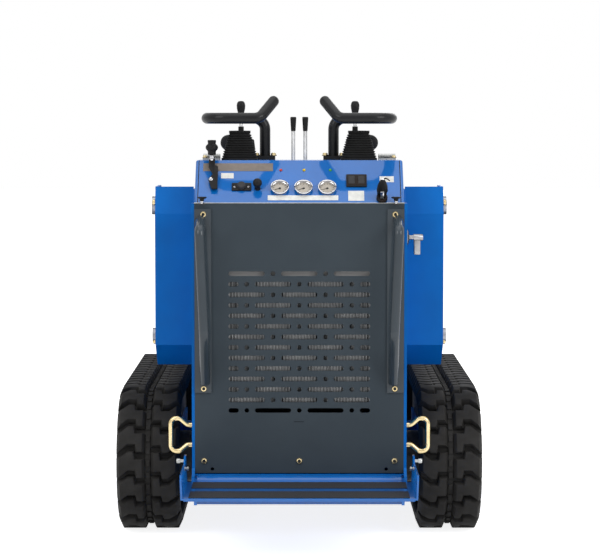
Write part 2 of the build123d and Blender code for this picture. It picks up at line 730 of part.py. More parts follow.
sleeve = link + disc(step_pivot, sleeve_radius)
sleeve -= disc(step_pivot, step_tube_radius + seat_gap)
deck += side_extrude(sleeve, -sleeve_half, sleeve_half)
save("platform_deck", deck)
grip_half = 296.0
# columns: rear and front edge
grip_rows = [(-156.0, -58.0), (-309.0, -208.0)]
grips = [box((-grip_half, grip_half), row, (step_top_z, step_top_z + grip_wall)) for row in grip_rows]
save("platform_grips", *grips)

# Hood: a hollow sheet shell, open underneath and at the rear
flat_end_y = hood_rear_y + hood_flat
nose_start_y = hood_front_y - hood_nose
hood_nose_z = hood_top_z - hood_fall
hood_top = [(hood_rear_y, hood_top_z), (flat_end_y, hood_top_z), (nose_start_y, hood_nose_z),
            (hood_front_y, hood_nose_z - hood_nose), (hood_front_y, hood_low_z)]
hood_back = [(sill_start_y + 6, hood_low_z), (deck_end_y + 47, shoulder_z), (hood_rear_y, hood_top_z - 16)]
shell = side_extrude(outline(hood_top + hood_back), -hood_half, hood_half)
past = 100.0
hollow = outline([(hood_rear_y - past, hood_low_z - past), (hood_rear_y - past, hood_top_z - hood_wall),
                  (flat_end_y, hood_top_z - hood_wall), (nose_start_y - 1, hood_nose_z - hood_wall),
                  (hood_front_y - hood_wall, hood_nose_z - hood_nose - 2),
                  (hood_front_y - hood_wall, hood_low_z - past)])
shell -= side_extrude(hollow, -hood_half + hood_wall, hood_half - hood_wall)
save("hood_shell", shell)

# Hood hinges: fixed leaves with a pin, and moving leaves
hinge_x = hood_half - 43.0
hinge_half = 25.0
knuckle_r = 7.0
pin_r = 3.0
fixed = []
moving = []
for side in (-1, 1):
    x = side * hinge_x
    leaf = box((x - hinge_half, x + hinge_half), (262, deck_end_y), (deck_z, deck_z + 4))
    web = outline([(deck_end_y - 4, deck_z), (hood_pivot[0], hood_pivot[1] - knuckle_r),
                   (hood_pivot[0], hood_pivot[1]), (deck_end_y - 4, deck_z + 4)])
    ear = web + disc(hood_pivot, knuckle_r)
    for x0 in (x - hinge_half, x + hinge_half - 14):
        leaf += side_extrude(ear, x0, x0 + 14)
    leaf += cross_rod(x - hinge_half, x + hinge_half, hood_pivot, pin_r)
    fixed.append(leaf)
    flap = box((x - hinge_half, x + hinge_half), (hood_rear_y + 4, hood_rear_y + 40),
               (hood_top_z, hood_top_z + 4))
    arm_web = outline([(hood_pivot[0], hood_pivot[1] - knuckle_r), (hood_rear_y + 6, hood_top_z),
                       (hood_rear_y + 6, hood_top_z + 4), (hood_pivot[0], hood_pivot[1])])
    tongue = arm_web + disc(hood_pivot, knuckle_r)
    tongue -= disc(hood_pivot, pin_r + fit_gap)
    flap += side_extrude(tongue, x - 10, x + 10)
    moving.append(flap)
save("hood_hinges_fixed", *fixed)
save("hood_hinges_moving", *moving)

# Work lamps on brackets at the hood's front
lamp_x = 199.0
lamp_y = 880.0
lamp_size = (102.0, 50.0)
lamp_rise = 62.0
stalk_half = 12.0
hood_slope = hood_fall / (nose_start_y - flat_end_y)
lamp_foot_z = hood_top_z - hood_slope * (lamp_y - stalk_half - flat_end_y) + seat_gap
lamp_z = lamp_foot_z + lamp_rise
lamp_face = SlotOverall(*lamp_size)
lamp_body = Pos(lamp_x, lamp_y, lamp_z) * Rot(90, 0, 0) * extrude(lamp_face, amount=30, both=True)
stalk = box((lamp_x - stalk_half, lamp_x + stalk_half), (lamp_y - stalk_half, lamp_y + stalk_half),
            (lamp_foot_z, lamp_z - lamp_size[1] / 2 + weld_sink))
lamp = lamp_body + stalk
save("work_lamps", lamp, mirror(lamp, about=Plane.YZ))

# Tracks
wheel_base = (link_count * link_pitch - 2 * pi * track_bend) / 2
idler_y = sprocket_y + wheel_base


def loop_point(s, height):
    """A point at distance s along the pitch line and at a height above it."""
    s %= link_count * link_pitch
    arc = pi * track_bend
    reach = track_bend + height
    if s < wheel_base:
        return (sprocket_y + s, axle_z - reach)
    s -= wheel_base
    if s < arc:
        turn = s / track_bend
        return (idler_y + reach * sin(turn), axle_z - reach * cos(turn))
    s -= arc
    if s < wheel_base:
        return (idler_y - s, axle_z + reach)
    turn = (s - wheel_base) / track_bend
    return (sprocket_y - reach * sin(turn), axle_z + reach * cos(turn))


def stadium(height):
    reach = track_bend + height
    ends = disc((sprocket_y, axle_z), reach) + disc((idler_y, axle_z), reach)
    middle = Pos((sprocket_y + idler_y) / 2, axle_z) * Rectangle(wheel_base, 2 * reach)
    return ends + middle


def lug_column(phase):
    """The toothed outline of one column of lugs."""
    points = []
    for link in range(link_count):
        s = (link + phase) * link_pitch
        for along_link, height in (
                (-lug_foot_length / 2, carcass_height), (-lug_top_length / 2, lug_tip),
                (0, lug_tip), (lug_top_length / 2, lug_tip), (lug_foot_length / 2, carcass_height)):
            points.append(loop_point(s + along_link, height))
    return outline(points)


track_inner_x = gauge_half - track_width / 2
track_outer_x = gauge_half + track_width / 2
hollow_loop = stadium(-inner_depth)
track = side_extrude(stadium(carcass_height) - hollow_loop, track_inner_x, track_outer_x)
for x0, phase in ((track_inner_x, 0.0), (track_outer_x - lug_column_width, 0.5)):
    track += side_extrude(lug_column(phase) - hollow_loop, x0, x0 + lug_column_width)
both("track", track)

# Drive motors and sprockets
sprocket_x0 = gauge_half - sprocket_width / 2
both("drive_motor", cross_rod(body_half, sprocket_x0, (sprocket_y, axle_z), motor_radius))
sprocket_tip = track_bend - inner_depth - seat_gap
sprocket_root = sprocket_tip - 20
teeth = []
for tooth in range(sprocket_teeth):
    for share, radius in ((0.0, sprocket_root), (0.25, sprocket_root), (0.4, sprocket_tip),
                          (0.85, sprocket_tip)):
        turn = 2 * pi * (tooth + share) / sprocket_teeth
        teeth.append((sprocket_y + radius * cos(turn), axle_z + radius * sin(turn)))
both("drive_sprocket", side_extrude(outline(teeth), sprocket_x0, sprocket_x0 + sprocket_width))

# Idlers and rollers
half_width = roller_width / 2


def wheel(centre, radius, axle, axle_half):
    """A wheel with a groove for the track's guides, on its axle."""
    body = cross_rod(gauge_half - half_width, gauge_half + half_width, centre, radius)
    ring = disc(centre, radius + 1) - disc(centre, radius - groove_depth)
    body -= side_extrude(ring, gauge_half - groove_half, gauge_half + groove_half)
    return body + cross_rod(gauge_half - axle_half, gauge_half + axle_half, centre, axle)


axle_half = half_width + rail_gap + rail_wall
idler_radius = track_bend - inner_depth - seat_gap
both("idler", wheel((idler_y, axle_z), idler_radius, idler_axle_radius, axle_half))
ground_inner_z = axle_z - track_bend + inner_depth
roller_z = ground_inner_z + roller_radius + seat_gap
carrier_z = axle_z + track_bend - inner_depth - carrier_radius - seat_gap
roller_ys = [roller_first_y + i * roller_pitch for i in range(roller_count)]
carrier_y = (sprocket_y + idler_y) / 2
rollers = [wheel((y, roller_z), roller_radius, axle_radius, axle_half) for y in roller_ys]
rollers.append(wheel((carrier_y, carrier_z), carrier_radius, axle_radius, axle_half))
save("track_rollers_right", *rollers)
save("track_rollers_left", *[mirror(piece, about=Plane.YZ) for piece in rollers])

# Track frames: two side rails, a top plate and brackets to the chassis
rail_low_z = roller_z - 22
rail_top_z = axle_z + 24
frame_start_y = roller_ys[0] - 45
frame_end_y = roller_ys[-1] + 45
rail_sketch = outline([
    (frame_start_y, rail_low_z), (frame_end_y, rail_low_z), (frame_end_y + 40, axle_z - 30),
    (idler_y + 32, axle_z - 30), (idler_y + 32, axle_z + 30), (frame_end_y, rail_top_z),
    (carrier_y + 50, rail_top_z), (carrier_y + 20, carrier_z + 18), (carrier_y - 20, carrier_z + 18),
    (carrier_y - 50, rail_top_z), (frame_start_y, rail_top_z)])
for y in roller_ys:
    rail_sketch -= disc((y, roller_z), axle_radius + fit_gap)
rail_sketch -= disc((carrier_y, carrier_z), axle_radius + fit_gap)
rail_sketch -= disc((idler_y, axle_z), idler_axle_radius + fit_gap)
rail_inner = half_width + rail_gap
frame = box((gauge_half - rail_inner - 1, gauge_half + rail_inner + 1), (frame_start_y + 30, frame_end_y - 20),
            (rail_top_z - 20, rail_top_z - 8))
for side in (-1, 1):
    x0, x1 = sorted((gauge_half + side * rail_inner, gauge_half + side * axle_half))
    frame += side_extrude(rail_sketch, x0, x1)
for y in (frame_start_y + 60, frame_end_y - 120):
    frame += box((body_half, gauge_half - rail_inner), (y, y + 90), (rail_low_z + 60, rail_top_z - 8))
both("track_frame", frame)
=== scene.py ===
import json
import math

import bmesh
import bpy
from mathutils import Matrix, Vector


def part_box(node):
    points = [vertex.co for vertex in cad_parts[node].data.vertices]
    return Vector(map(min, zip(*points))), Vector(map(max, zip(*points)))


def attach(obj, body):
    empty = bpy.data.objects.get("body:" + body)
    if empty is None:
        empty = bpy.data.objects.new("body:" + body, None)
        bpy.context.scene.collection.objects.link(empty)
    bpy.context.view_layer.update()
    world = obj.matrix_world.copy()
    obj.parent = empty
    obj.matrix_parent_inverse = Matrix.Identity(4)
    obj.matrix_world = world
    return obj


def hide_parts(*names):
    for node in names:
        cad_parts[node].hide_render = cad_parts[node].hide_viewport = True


bl_info = {
    "name": "Mini skid steer loader",
    "version": (1, 0, 0),
    "blender": (4, 5, 0),
    "location": "3D View > Sidebar > Loader",
    "description": "Dresses the loader's frame with its paint, rubber, controls and fasteners",
    "category": "Object",
}

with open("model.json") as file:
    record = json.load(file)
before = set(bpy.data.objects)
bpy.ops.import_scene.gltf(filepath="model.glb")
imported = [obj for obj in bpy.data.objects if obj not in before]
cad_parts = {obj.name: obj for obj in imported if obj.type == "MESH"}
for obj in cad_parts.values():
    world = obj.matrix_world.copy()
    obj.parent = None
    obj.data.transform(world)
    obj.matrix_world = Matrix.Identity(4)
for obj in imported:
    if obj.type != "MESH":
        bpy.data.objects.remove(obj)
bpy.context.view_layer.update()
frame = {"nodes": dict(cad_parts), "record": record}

# Pieces are modelled in millimetres: X to the operator's right, Y forward from the outer
# face of the grille panel, Z up from the ground. TO_FRAME then puts them in the frame.
MM = 0.001
PANEL_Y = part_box("grille_panel")[0].y
TO_FRAME = Matrix.Translation((0, PANEL_Y, 0)) @ Matrix.Scale(MM, 4)
SIDES = (("left", -1), ("right", 1))


def box_mm(node):
    """Lowest and highest corner of a CAD node, in the pieces' millimetres."""
    back = TO_FRAME.inverted()
    return tuple(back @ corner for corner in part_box(node))


def middle_mm(node):
    low, high = box_mm(node)
    return (low + high) / 2


# Places read from the frame
PANEL_HIGH = box_mm("grille_panel")[1]
DECK_Z = box_mm("dash_panel")[1].z
TRACK_LOW, TRACK_HIGH = box_mm("track_right")
GAUGE_HALF = (TRACK_LOW.x + TRACK_HIGH.x) / 2
SPROCKET = middle_mm("drive_motor_right")
IDLER = middle_mm("idler_right")
SIDE_OUTER = box_mm("side_plate_right")[1].x
TOWER_OUTER = box_mm("tower_right")[1].x
WING_X = box_mm("platform_deck")[1].x

# The instrument slope: how far it runs forward and rises from the panel's top to the deck
SLOPE_RUN = 112.0
SLOPE_RISE = DECK_Z - PANEL_HIGH.z
SLOPE_LENGTH = math.hypot(SLOPE_RUN, SLOPE_RISE)


# Mesh tools

def add(target, part, *places):
    """Copy a small bmesh into a larger one at each place, then free it."""
    scratch = bpy.data.meshes.new("scratch")
    part.to_mesh(scratch)
    part.free()
    for place in places or (Matrix(),):
        first = len(target.verts)
        target.from_mesh(scratch)
        target.verts.ensure_lookup_table()
        bmesh.ops.transform(target, matrix=place, verts=target.verts[first:])
    bpy.data.meshes.remove(scratch)


def at(x, y, z):
    return Matrix.Translation((x, y, z))


def turn(degrees, axis):
    return Matrix.Rotation(math.radians(degrees), 4, axis)


FLIP = Matrix.Scale(-1, 4, (1, 0, 0))


def on_slope(x, up, out=0.0):
    """A place on the instrument slope: X across, Y up the slope, Z out of it."""
    across = Vector((1, 0, 0))
    along = Vector((0, SLOPE_RUN, SLOPE_RISE)).normalized()
    normal = across.cross(along)
    place = Matrix((across, along, normal)).transposed().to_4x4()
    foot = Vector((x, 0, PANEL_HIGH.z)) + along * up + normal * out
    return Matrix.Translation(foot) @ place


def round_edges(bm, edges, radius, segments=2):
    bmesh.ops.bevel(bm, geom=list(edges), offset=radius, offset_type="OFFSET", affect="EDGES",
                    segments=segments, profile=0.5, material=-1, clamp_overlap=True)


def sharp(bm):
    """Edges whose two faces meet at more than 40 degrees."""
    least = math.radians(40)
    return [e for e in bm.edges if len(e.link_faces) == 2 and e.calc_face_angle(0) > least]


def block(size, radius=0.0, segments=2):
    """A block of a given size about the origin, its edges rounded."""
    bm = bmesh.new()
    bmesh.ops.create_cube(bm, size=1.0)
    bmesh.ops.scale(bm, vec=size, verts=bm.verts)
    if radius:
        round_edges(bm, bm.edges, radius, segments)
    return bm


def only(kind, made):
    """The vertices, edges or faces among what an extrusion made."""
    return [part for part in made["geom"] if isinstance(part, kind)]


def pull(bm, points, base, height):
    """A flat outline at a base height pulled along Z; gives back its far face."""
    face = bm.faces.new([bm.verts.new((x, y, base)) for x, y in points])
    far = only(bmesh.types.BMFace, bmesh.ops.extrude_face_region(bm, geom=[face]))[0]
    bmesh.ops.translate(bm, vec=(0, 0, height), verts=far.verts[:])
    bmesh.ops.recalc_face_normals(bm, faces=bm.faces)
    return far


def slab(points, height, radius=0.0, segments=2):
    """A flat outline in XY pulled up along Z, its edges rounded."""
    bm = bmesh.new()
    pull(bm, points, 0, height)
    if radius:
        round_edges(bm, sharp(bm), radius, segments)
    return bm


def lathe(profile, steps=32):
    """Half-profile points (radius, height) turned about Z."""
    bm = bmesh.new()
    verts = [bm.verts.new((r, 0, z)) for r, z in profile]
    edges = [bm.edges.new(pair) for pair in zip(verts, verts[1:])]
    bmesh.ops.spin(bm, geom=verts + edges, axis=(0, 0, 1), cent=(0, 0, 0), angle=2 * math.pi,
                   steps=steps, use_merge=True)
    bmesh.ops.remove_doubles(bm, verts=bm.verts, dist=0.001)
    bmesh.ops.recalc_face_normals(bm, faces=bm.faces)
    return bm


def next_ring(bm, ring):
    """Extrude a closed ring in place and give back its new vertices."""
    edges = dict.fromkeys(e for v in ring for e in v.link_edges if all(w in ring for w in e.verts))
    return only(bmesh.types.BMVert, bmesh.ops.extrude_edge_only(bm, edges=list(edges)))


def bar(path, radius, steps=12):
    """A round bar along a list of points, closed at both ends."""
    bm = bmesh.new()
    path = [Vector(p) for p in path]
    heading = (path[1] - path[0]).normalized()
    start = Matrix.Translation(path[0]) @ heading.to_track_quat("Z", "Y").to_matrix().to_4x4()
    ring = bmesh.ops.create_circle(bm, cap_ends=True, segments=steps, radius=radius, matrix=start)["verts"]
    for i, point in enumerate(path[1:], 1):
        aim = (point - path[i - 1]).normalized()
        if i + 1 < len(path):
            aim = (aim + (path[i + 1] - point).normalized()).normalized()
        ring = next_ring(bm, ring)
        swing = heading.rotation_difference(aim).to_matrix()
        centre = sum((v.co for v in ring), Vector()) / len(ring)
        for v in ring:
            v.co = point + swing @ (v.co - centre)
        heading = aim
    bmesh.ops.contextual_create(bm, geom=ring)
    bmesh.ops.recalc_face_normals(bm, faces=bm.faces)
    return bm


def bend(points, radius):
    """Points of a path with its inner corners rounded by arcs of one radius."""
    steps = 5
    points = [Vector(p) for p in points]
    path = [points[0]]
    for before, corner, after in zip(points, points[1:], points[2:]):
        a, b = (before - corner).normalized(), (after - corner).normalized()
        half = a.angle(b) / 2
        reach = radius / math.tan(half)
        centre = corner + (a + b).normalized() * (radius / math.sin(half))
        start, end = corner + a * reach - centre, corner + b * reach - centre
        for i in range(steps + 1):
            path.append(centre + start.slerp(end, i / steps))
    path.append(points[-1])
    return path


def heading_of(v):
    return math.atan2(v.co.y, v.co.x)


def stack(levels, corners, power):
    """Rounded squares (half width, height) one above the other, joined and closed."""
    bm = bmesh.new()
    ring = bmesh.ops.create_circle(bm, cap_ends=True, segments=4 * corners, radius=1.0)["verts"]
    for v in ring:
        across, along = math.cos(heading_of(v)), math.sin(heading_of(v))
        v.co *= (abs(across) ** power + abs(along) ** power) ** (-1 / power)
    ring = sorted(ring, key=heading_of)
    shape = [v.co.copy() for v in ring]
    for level, (half, height) in enumerate(levels):
        if level:
            ring = sorted(next_ring(bm, ring), key=heading_of)
        for v, corner in zip(ring, shape):
            v.co = (corner.x * half, corner.y * half, height)
    bmesh.ops.contextual_create(bm, geom=ring)
    bmesh.ops.recalc_face_normals(bm, faces=bm.faces)
    return bm


def bolt(across, head, washer, wall):
    """A hexagon head on its washer, standing on Z = 0."""
    bm = lathe([(0, 0), (washer, 0), (washer, wall - 0.6), (washer - 0.6, wall), (0, wall)], 24)
    corner = across / math.sqrt(3)
    turns = [math.radians(60 * i) for i in range(6)]
    hexagon = [(corner * math.cos(a), corner * math.sin(a)) for a in turns]
    add(bm, slab(hexagon, head, 0.9, 2), at(0, 0, wall))
    add(bm, lathe([(0, 0), (across * 0.42, 0), (across * 0.36, 1.2), (0, 1.2)], 18), at(0, 0, wall + head))
    return bm


def cap_screw(radius, head, socket):
    """A round socket-head screw standing on Z = 0."""
    return lathe([(0, 0), (radius, 0), (radius, head - 0.8), (radius - 0.8, head), (socket, head),
                  (socket * 0.9, head - 4), (0, head - 4)], 20)


# Materials

def linear(hex_colour):
    """An sRGB hex colour as linear red, green, blue and alpha."""
    channels = [int(hex_colour[i:i + 2], 16) / 255 for i in (0, 2, 4)]
    return tuple(c / 12.92 if c <= 0.04045 else ((c + 0.055) / 1.055) ** 2.4 for c in channels) + (1.0,)


def darker(hex_colour):
    """The colour of the dull patches of a moulded or printed face."""
    return tuple(0.84 * c for c in linear(hex_colour)[:3]) + (1.0,)


def node(tree, kind, sockets=None, **settings):
    """Add a node with its settings; a socket's value is a number, a colour or another node's output."""
    made = tree.nodes.new(kind)
    for name, value in settings.items():
        setattr(made, name, value)
    for name, value in (sockets or {}).items():
        if isinstance(value, bpy.types.NodeSocket):
            tree.links.new(value, made.inputs[name])
        else:
            made.inputs[name].default_value = value
    return made


def new_material(name):
    """A material with its tree, its shader and the object's own coordinates."""
    made = bpy.data.materials.new(name)
    made.use_nodes = True
    tree = made.node_tree
    tree.nodes.clear()
    shader = node(tree, "ShaderNodeBsdfPrincipled")
    out = node(tree, "ShaderNodeOutputMaterial")
    tree.links.new(shader.outputs["BSDF"], out.inputs["Surface"])
    place = node(tree, "ShaderNodeTexCoord").outputs["Object"]
    return made, tree, shader, place


def mottle(tree, place, size_mm, low, high, detail=3.0):
    """Soft patches of a given size between two colours."""
    scale = 1 / (size_mm * MM)
    noise = node(tree, "ShaderNodeTexNoise", {"Vector": place, "Scale": scale, "Detail": detail})
    ramp = node(tree, "ShaderNodeValToRGB", {"Fac": noise.outputs["Fac"]})
    ramp.color_ramp.elements[0].position = 0.35
    ramp.color_ramp.elements[1].position = 0.65
    ramp.color_ramp.elements[0].color = low
    ramp.color_ramp.elements[1].color = high
    return ramp.outputs["Color"]


def grain(tree, place, size_mm, depth_mm, detail=2.0):
    """A bump of grains of a given size and depth."""
    scale = 1 / (size_mm * MM)
    noise = node(tree, "ShaderNodeTexNoise", {"Vector": place, "Scale": scale, "Detail": detail})
    return node(tree, "ShaderNodeBump", {"Height": noise.outputs["Fac"], "Distance": depth_mm * MM,
                                         "Strength": 1.0}).outputs["Normal"]


def uneven(tree, place, size_mm, low, high):
    """Roughness that wanders between two values."""
    scale = 1 / (size_mm * MM)
    noise = node(tree, "ShaderNodeTexNoise", {"Vector": place, "Scale": scale, "Detail": 4.0})
    span = {"Value": noise.outputs["Fac"], "From Min": 0.3, "From Max": 0.7, "To Min": low, "To Max": high}
    return node(tree, "ShaderNodeMapRange", span).outputs["Result"]


def surface(name, dark, light, patch_mm, rough, rough_mm, grain_mm, depth_mm, patch_detail=3.0,
            grain_detail=2.0, sockets=None):
    """A finish with patches of two colours, wandering roughness and a grained skin."""
    made, tree, shader, place = new_material(name)
    colour = mottle(tree, place, patch_mm, dark, light, patch_detail)
    tree.links.new(colour, shader.inputs["Base Color"])
    tree.links.new(uneven(tree, place, rough_mm, *rough), shader.inputs["Roughness"])
    tree.links.new(grain(tree, place, grain_mm, depth_mm, grain_detail), shader.inputs["Normal"])
    for socket, value in (sockets or {}).items():
        shader.inputs[socket].default_value = value
    return made


def powder_coat(name, base, shade, low_rough, high_rough, gloss=0.0):
    """Sprayed and baked polyester powder: even colour, faint orange peel, soft broad gloss."""
    # real orange peel is about 1 mm across; drawn at 3 mm so that it shows
    sockets = {"IOR": 1.5, "Specular IOR Level": 0.15, "Coat Weight": gloss, "Coat Roughness": 0.06}
    return surface(name, linear(shade), linear(base), patch_mm=120, rough=(low_rough, high_rough),
                   rough_mm=60, grain_mm=3.0, depth_mm=0.02, sockets=sockets)


def moulded_rubber(name, base, dust, grain_mm=2.5, depth_mm=0.12):
    """Carbon-black rubber from a steel mould: matt, faintly dusty, with a fine skin grain."""
    return surface(name, linear(base), linear(dust), patch_mm=45, rough=(0.65, 0.82), rough_mm=30,
                   grain_mm=grain_mm, depth_mm=depth_mm, patch_detail=6.0, grain_detail=4.0,
                   sockets={"Specular IOR Level": 0.1})


def moulded_plastic(name, base, rough):
    """Injection-moulded black nylon or ABS: dark, with a spark-eroded texture."""
    return surface(name, darker(base), linear(base), patch_mm=30, rough=(rough - 0.05, rough + 0.05),
                   rough_mm=12, grain_mm=1.2, depth_mm=0.03, sockets={"Specular IOR Level": 0.18})


def plated_metal(name, base, shade, low_rough, high_rough):
    """Plated or ground steel: a bright metal with faint clouding from the bath."""
    # the dark tint of its edge is painted shade: it darkens the plating towards the rim of a round bar
    return surface(name, linear(shade), linear(base), patch_mm=25, rough=(low_rough, high_rough), rough_mm=10,
                   grain_mm=1.5, depth_mm=0.01, patch_detail=4.0,
                   sockets={"Metallic": 1.0, "Specular Tint": linear("50504c")})


def cast_iron(name, base, shade):
    """Sand-cast iron with a thin oily paint: dull, lumpy skin."""
    return surface(name, linear(shade), linear(base), patch_mm=20, rough=(0.45, 0.7), rough_mm=14,
                   grain_mm=2.5, depth_mm=0.15, patch_detail=5.0, grain_detail=4.0,
                   sockets={"Metallic": 0.35})


def grit_tape(name, base, spark):
    """Anti-slip tape: mineral grit, drawn at 2 mm, on a black film."""
    made, tree, shader, place = new_material(name)
    cells = node(tree, "ShaderNodeTexVoronoi", {"Vector": place, "Scale": 1 / (2.0 * MM)})
    ramp = node(tree, "ShaderNodeValToRGB", {"Fac": cells.outputs["Distance"]})
    ramp.color_ramp.elements[0].color = linear(spark)
    ramp.color_ramp.elements[1].position = 0.45
    ramp.color_ramp.elements[1].color = linear(base)
    tree.links.new(ramp.outputs["Color"], shader.inputs["Base Color"])
    bump = node(tree, "ShaderNodeBump", {"Height": cells.outputs["Distance"], "Distance": 0.4 * MM})
    bump.invert = True
    tree.links.new(bump.outputs["Normal"], shader.inputs["Normal"])
    shader.inputs["Roughness"].default_value = 0.8
    return made


def clear_lens(name, colour, rough):
    """Clear moulded polycarbonate or glass over a dial or lamp."""
    made, tree, shader, place = new_material(name)
    tree.links.new(grain(tree, place, 8.0, 0.01), shader.inputs["Normal"])
    shader.inputs["Base Color"].default_value = linear(colour)
    shader.inputs["Transmission Weight"].default_value = 1.0
    shader.inputs["Roughness"].default_value = rough
    shader.inputs["IOR"].default_value = 1.45
    return made


def enamel(name, base, rough):
    """A small printed or enamelled face with a thin clear film; also a dark film of painted shade laid in
    gaps and hollows.
    """
    made, tree, shader, place = new_material(name)
    tree.links.new(mottle(tree, place, 15, darker(base), linear(base)), shader.inputs["Base Color"])
    tree.links.new(grain(tree, place, 1.0, 0.005), shader.inputs["Normal"])
    shader.inputs["Roughness"].default_value = rough
    return made


# How each finish is made: its kind, its name, its sRGB colours, and then its roughness and its
# gloss or grain where the kind takes them
FINISHES = {
    "blue_paint": (powder_coat, "blue_polyester_powder_coat", "0069be", "0063b4", 0.35, 0.45),
    "gloss_blue": (powder_coat, "blue_gloss_powder_coat", "0066ba", "0060b0", 0.3, 0.4, 0.9),
    "slate_paint": (powder_coat, "slate_satin_powder_coat", "3c454c", "384148", 0.42, 0.52),
    "black_coat": (powder_coat, "black_semi_gloss_powder_coat", "191a1c", "151618", 0.3, 0.42, 0.15),
    "track_rubber": (moulded_rubber, "black_track_rubber", "2b2a29", "333231"),
    "grip_rubber": (grit_tape, "black_grit_tape", "18181b", "3c3c42"),
    "boot_rubber": (moulded_rubber, "soft_boot_rubber", "1e1e1e", "252525", 1.2, 0.03),
    "dark_steel": (cast_iron, "oiled_cast_steel", "3a3a3c", "2a2a2c"),
    "engine_iron": (cast_iron, "painted_engine_iron", "2c2d2e", "222324"),
    "radiator_aluminium": (plated_metal, "mill_finish_fin_aluminium", "98999a", "868788", 0.35, 0.5),
    "tank_coat": (powder_coat, "grey_satin_tank_coat", "c4c3c3", "b6b5b5", 0.4, 0.5),
    "handle_coat": (powder_coat, "slate_gloss_powder_coat", "3a434a", "363f46", 0.16, 0.26, 0.4),
    "chrome_plate": (plated_metal, "bright_chrome_plate", "d8d8da", "c8c8cc", 0.08, 0.16),
    "zinc_yellow": (plated_metal, "yellow_zinc_plate", "dccaa0", "d0bb8c", 0.14, 0.26),
    "lever_steel": (plated_metal, "brushed_lever_steel", "dcdcdc", "c4c4c4", 0.42, 0.55),
    "latch_steel": (plated_metal, "satin_nickel_plate", "a4a4a6", "98989a", 0.3, 0.4),
    "zinc_clear": (plated_metal, "clear_zinc_plate", "b4b5b4", "9c9e9c", 0.25, 0.38),
    "bare_steel": (plated_metal, "ground_bare_steel", "a8a8aa", "8e8e92", 0.3, 0.45),
    "black_plastic": (moulded_plastic, "black_moulded_nylon", "151516", 0.45),
    "soft_plastic": (moulded_plastic, "dark_grey_moulded_abs", "38383a", 0.5),
    "label_white": (enamel, "white_printed_film", "e6e6e2", 0.4),
    "dial_white": (enamel, "silvered_dial_enamel", "b4aca0", 0.35),
    "plate_grey": (enamel, "grey_printed_film", "7a7068", 0.4),
    "dial_black": (enamel, "black_dial_ink", "1a1a1a", 0.5),
    "switch_red": (moulded_plastic, "red_black_moulded_nylon", "1e1614", 0.5),
    # painted shade: a dark blue-black film laid in seams, slits and the hollows of bolt heads, where there is
    # only shadow
    "painted_shade_dark": (enamel, "dark_shadow_gap", "08131f", 0.8),
    "red_lens": (enamel, "red_indicator_lens", "c8281e", 0.15),
    "yellow_lens": (enamel, "yellow_indicator_lens", "e0c020", 0.15),
    "green_lens": (enamel, "green_indicator_lens", "3c9a3c", 0.15),
    "lamp_glass": (clear_lens, "clear_lamp_lens", "f4f8ff", 0.05),
}
MADE = {}


def finish(name):
    if name not in MADE:
        kind, *values = FINISHES[name]
        MADE[name] = kind(*values)
    return MADE[name]


def piece(name, bm, body, slot, *finishes, replaces=(), smooth=35.0):
    """Close a mesh, put it in the frame, give it its finishes and hang it on its body."""
    # the slot is the record's; a small printed or clear piece, or a strip of painted shade, has none and
    # names its finishes
    bmesh.ops.remove_doubles(bm, verts=bm.verts, dist=0.01)
    bmesh.ops.recalc_face_normals(bm, faces=bm.faces)
    bmesh.ops.transform(bm, matrix=TO_FRAME, verts=bm.verts)
    mesh = bpy.data.meshes.new(name)
    bm.to_mesh(mesh)
    bm.free()
    for each in finishes or (slot,):
        mesh.materials.append(finish(each))
    mesh.shade_smooth()
    mesh.set_sharp_from_angle(angle=math.radians(smooth))
    made = bpy.data.objects.new(name, mesh)
    bpy.context.scene.collection.objects.link(made)
    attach(made, body)
    if replaces:
        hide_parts(*replaces)


def tint(bm, index):
    """Give every face of a part one of its piece's finishes."""
    for face in bm.faces:
        face.material_index = index
    return bm


# Sizes and colours a user would change

class LoaderSizes(bpy.types.PropertyGroup):
    lug_height: bpy.props.FloatProperty(
        name="Lug height", description="Height of the tread lugs over the belt", default=22.0)
    belt_top: bpy.props.FloatProperty(
        name="Belt top", description="Outer face of the belt over its pitch line", default=17.0)
    belt_depth: bpy.props.FloatProperty(
        name="Belt depth", description="Inner face of the belt under its pitch line", default=8.0)
    groove_width: bpy.props.FloatProperty(
        name="Groove width", description="Gap between neighbouring lugs at their tips", default=11.0)
    link_pitch: bpy.props.FloatProperty(
        name="Link pitch", description="Distance from one tread block to the next", default=62.2)
    fin_pitch: bpy.props.FloatProperty(
        name="Fin pitch", description="Spacing of the radiator's folded fins", default=9.0)
    rib_height: bpy.props.FloatProperty(
        name="Rib height", description="Height of the rib along the track's centre groove", default=5.0)
    gauge_radius: bpy.props.FloatProperty(
        name="Gauge radius", description="Outer radius of a dash gauge's bezel", default=26.0)
    boot_ribs: bpy.props.IntProperty(
        name="Boot ribs", description="Folds of each joystick's rubber boot", default=11)


class LoaderStage(bpy.types.PropertyGroup):
    lens: bpy.props.FloatProperty(
        name="Lens", description="Focal length of the camera in millimetres", default=131.5)
    distance: bpy.props.FloatProperty(
        name="Distance", description="Camera to the grille panel", default=6.10, unit="LENGTH")
    height: bpy.props.FloatProperty(
        name="Height", description="Camera over the ground", default=1.20, unit="LENGTH")
    tilt: bpy.props.FloatProperty(
        name="Tilt", description="Camera's dip below the horizon, in degrees", default=4.19)
    side_step: bpy.props.FloatProperty(
        name="Side shift", description="Share of the image's width it is off centre", default=0.0012)
    floor: bpy.props.FloatVectorProperty(
        name="Floor", description="Colour of the pale floor", subtype="COLOR", size=3,
        default=(0.82, 0.82, 0.82))


# Nodes whose finish is a closer match than their slot's usual one
CLOSER = {"hood_hinges_fixed": "zinc_clear", "hood_hinges_moving": "zinc_clear",
          "grab_handle_left": "handle_coat", "grab_handle_right": "handle_coat",
          "dash_panel": "gloss_blue", "platform_deck": "gloss_blue", "radiator_core": "tank_coat"}


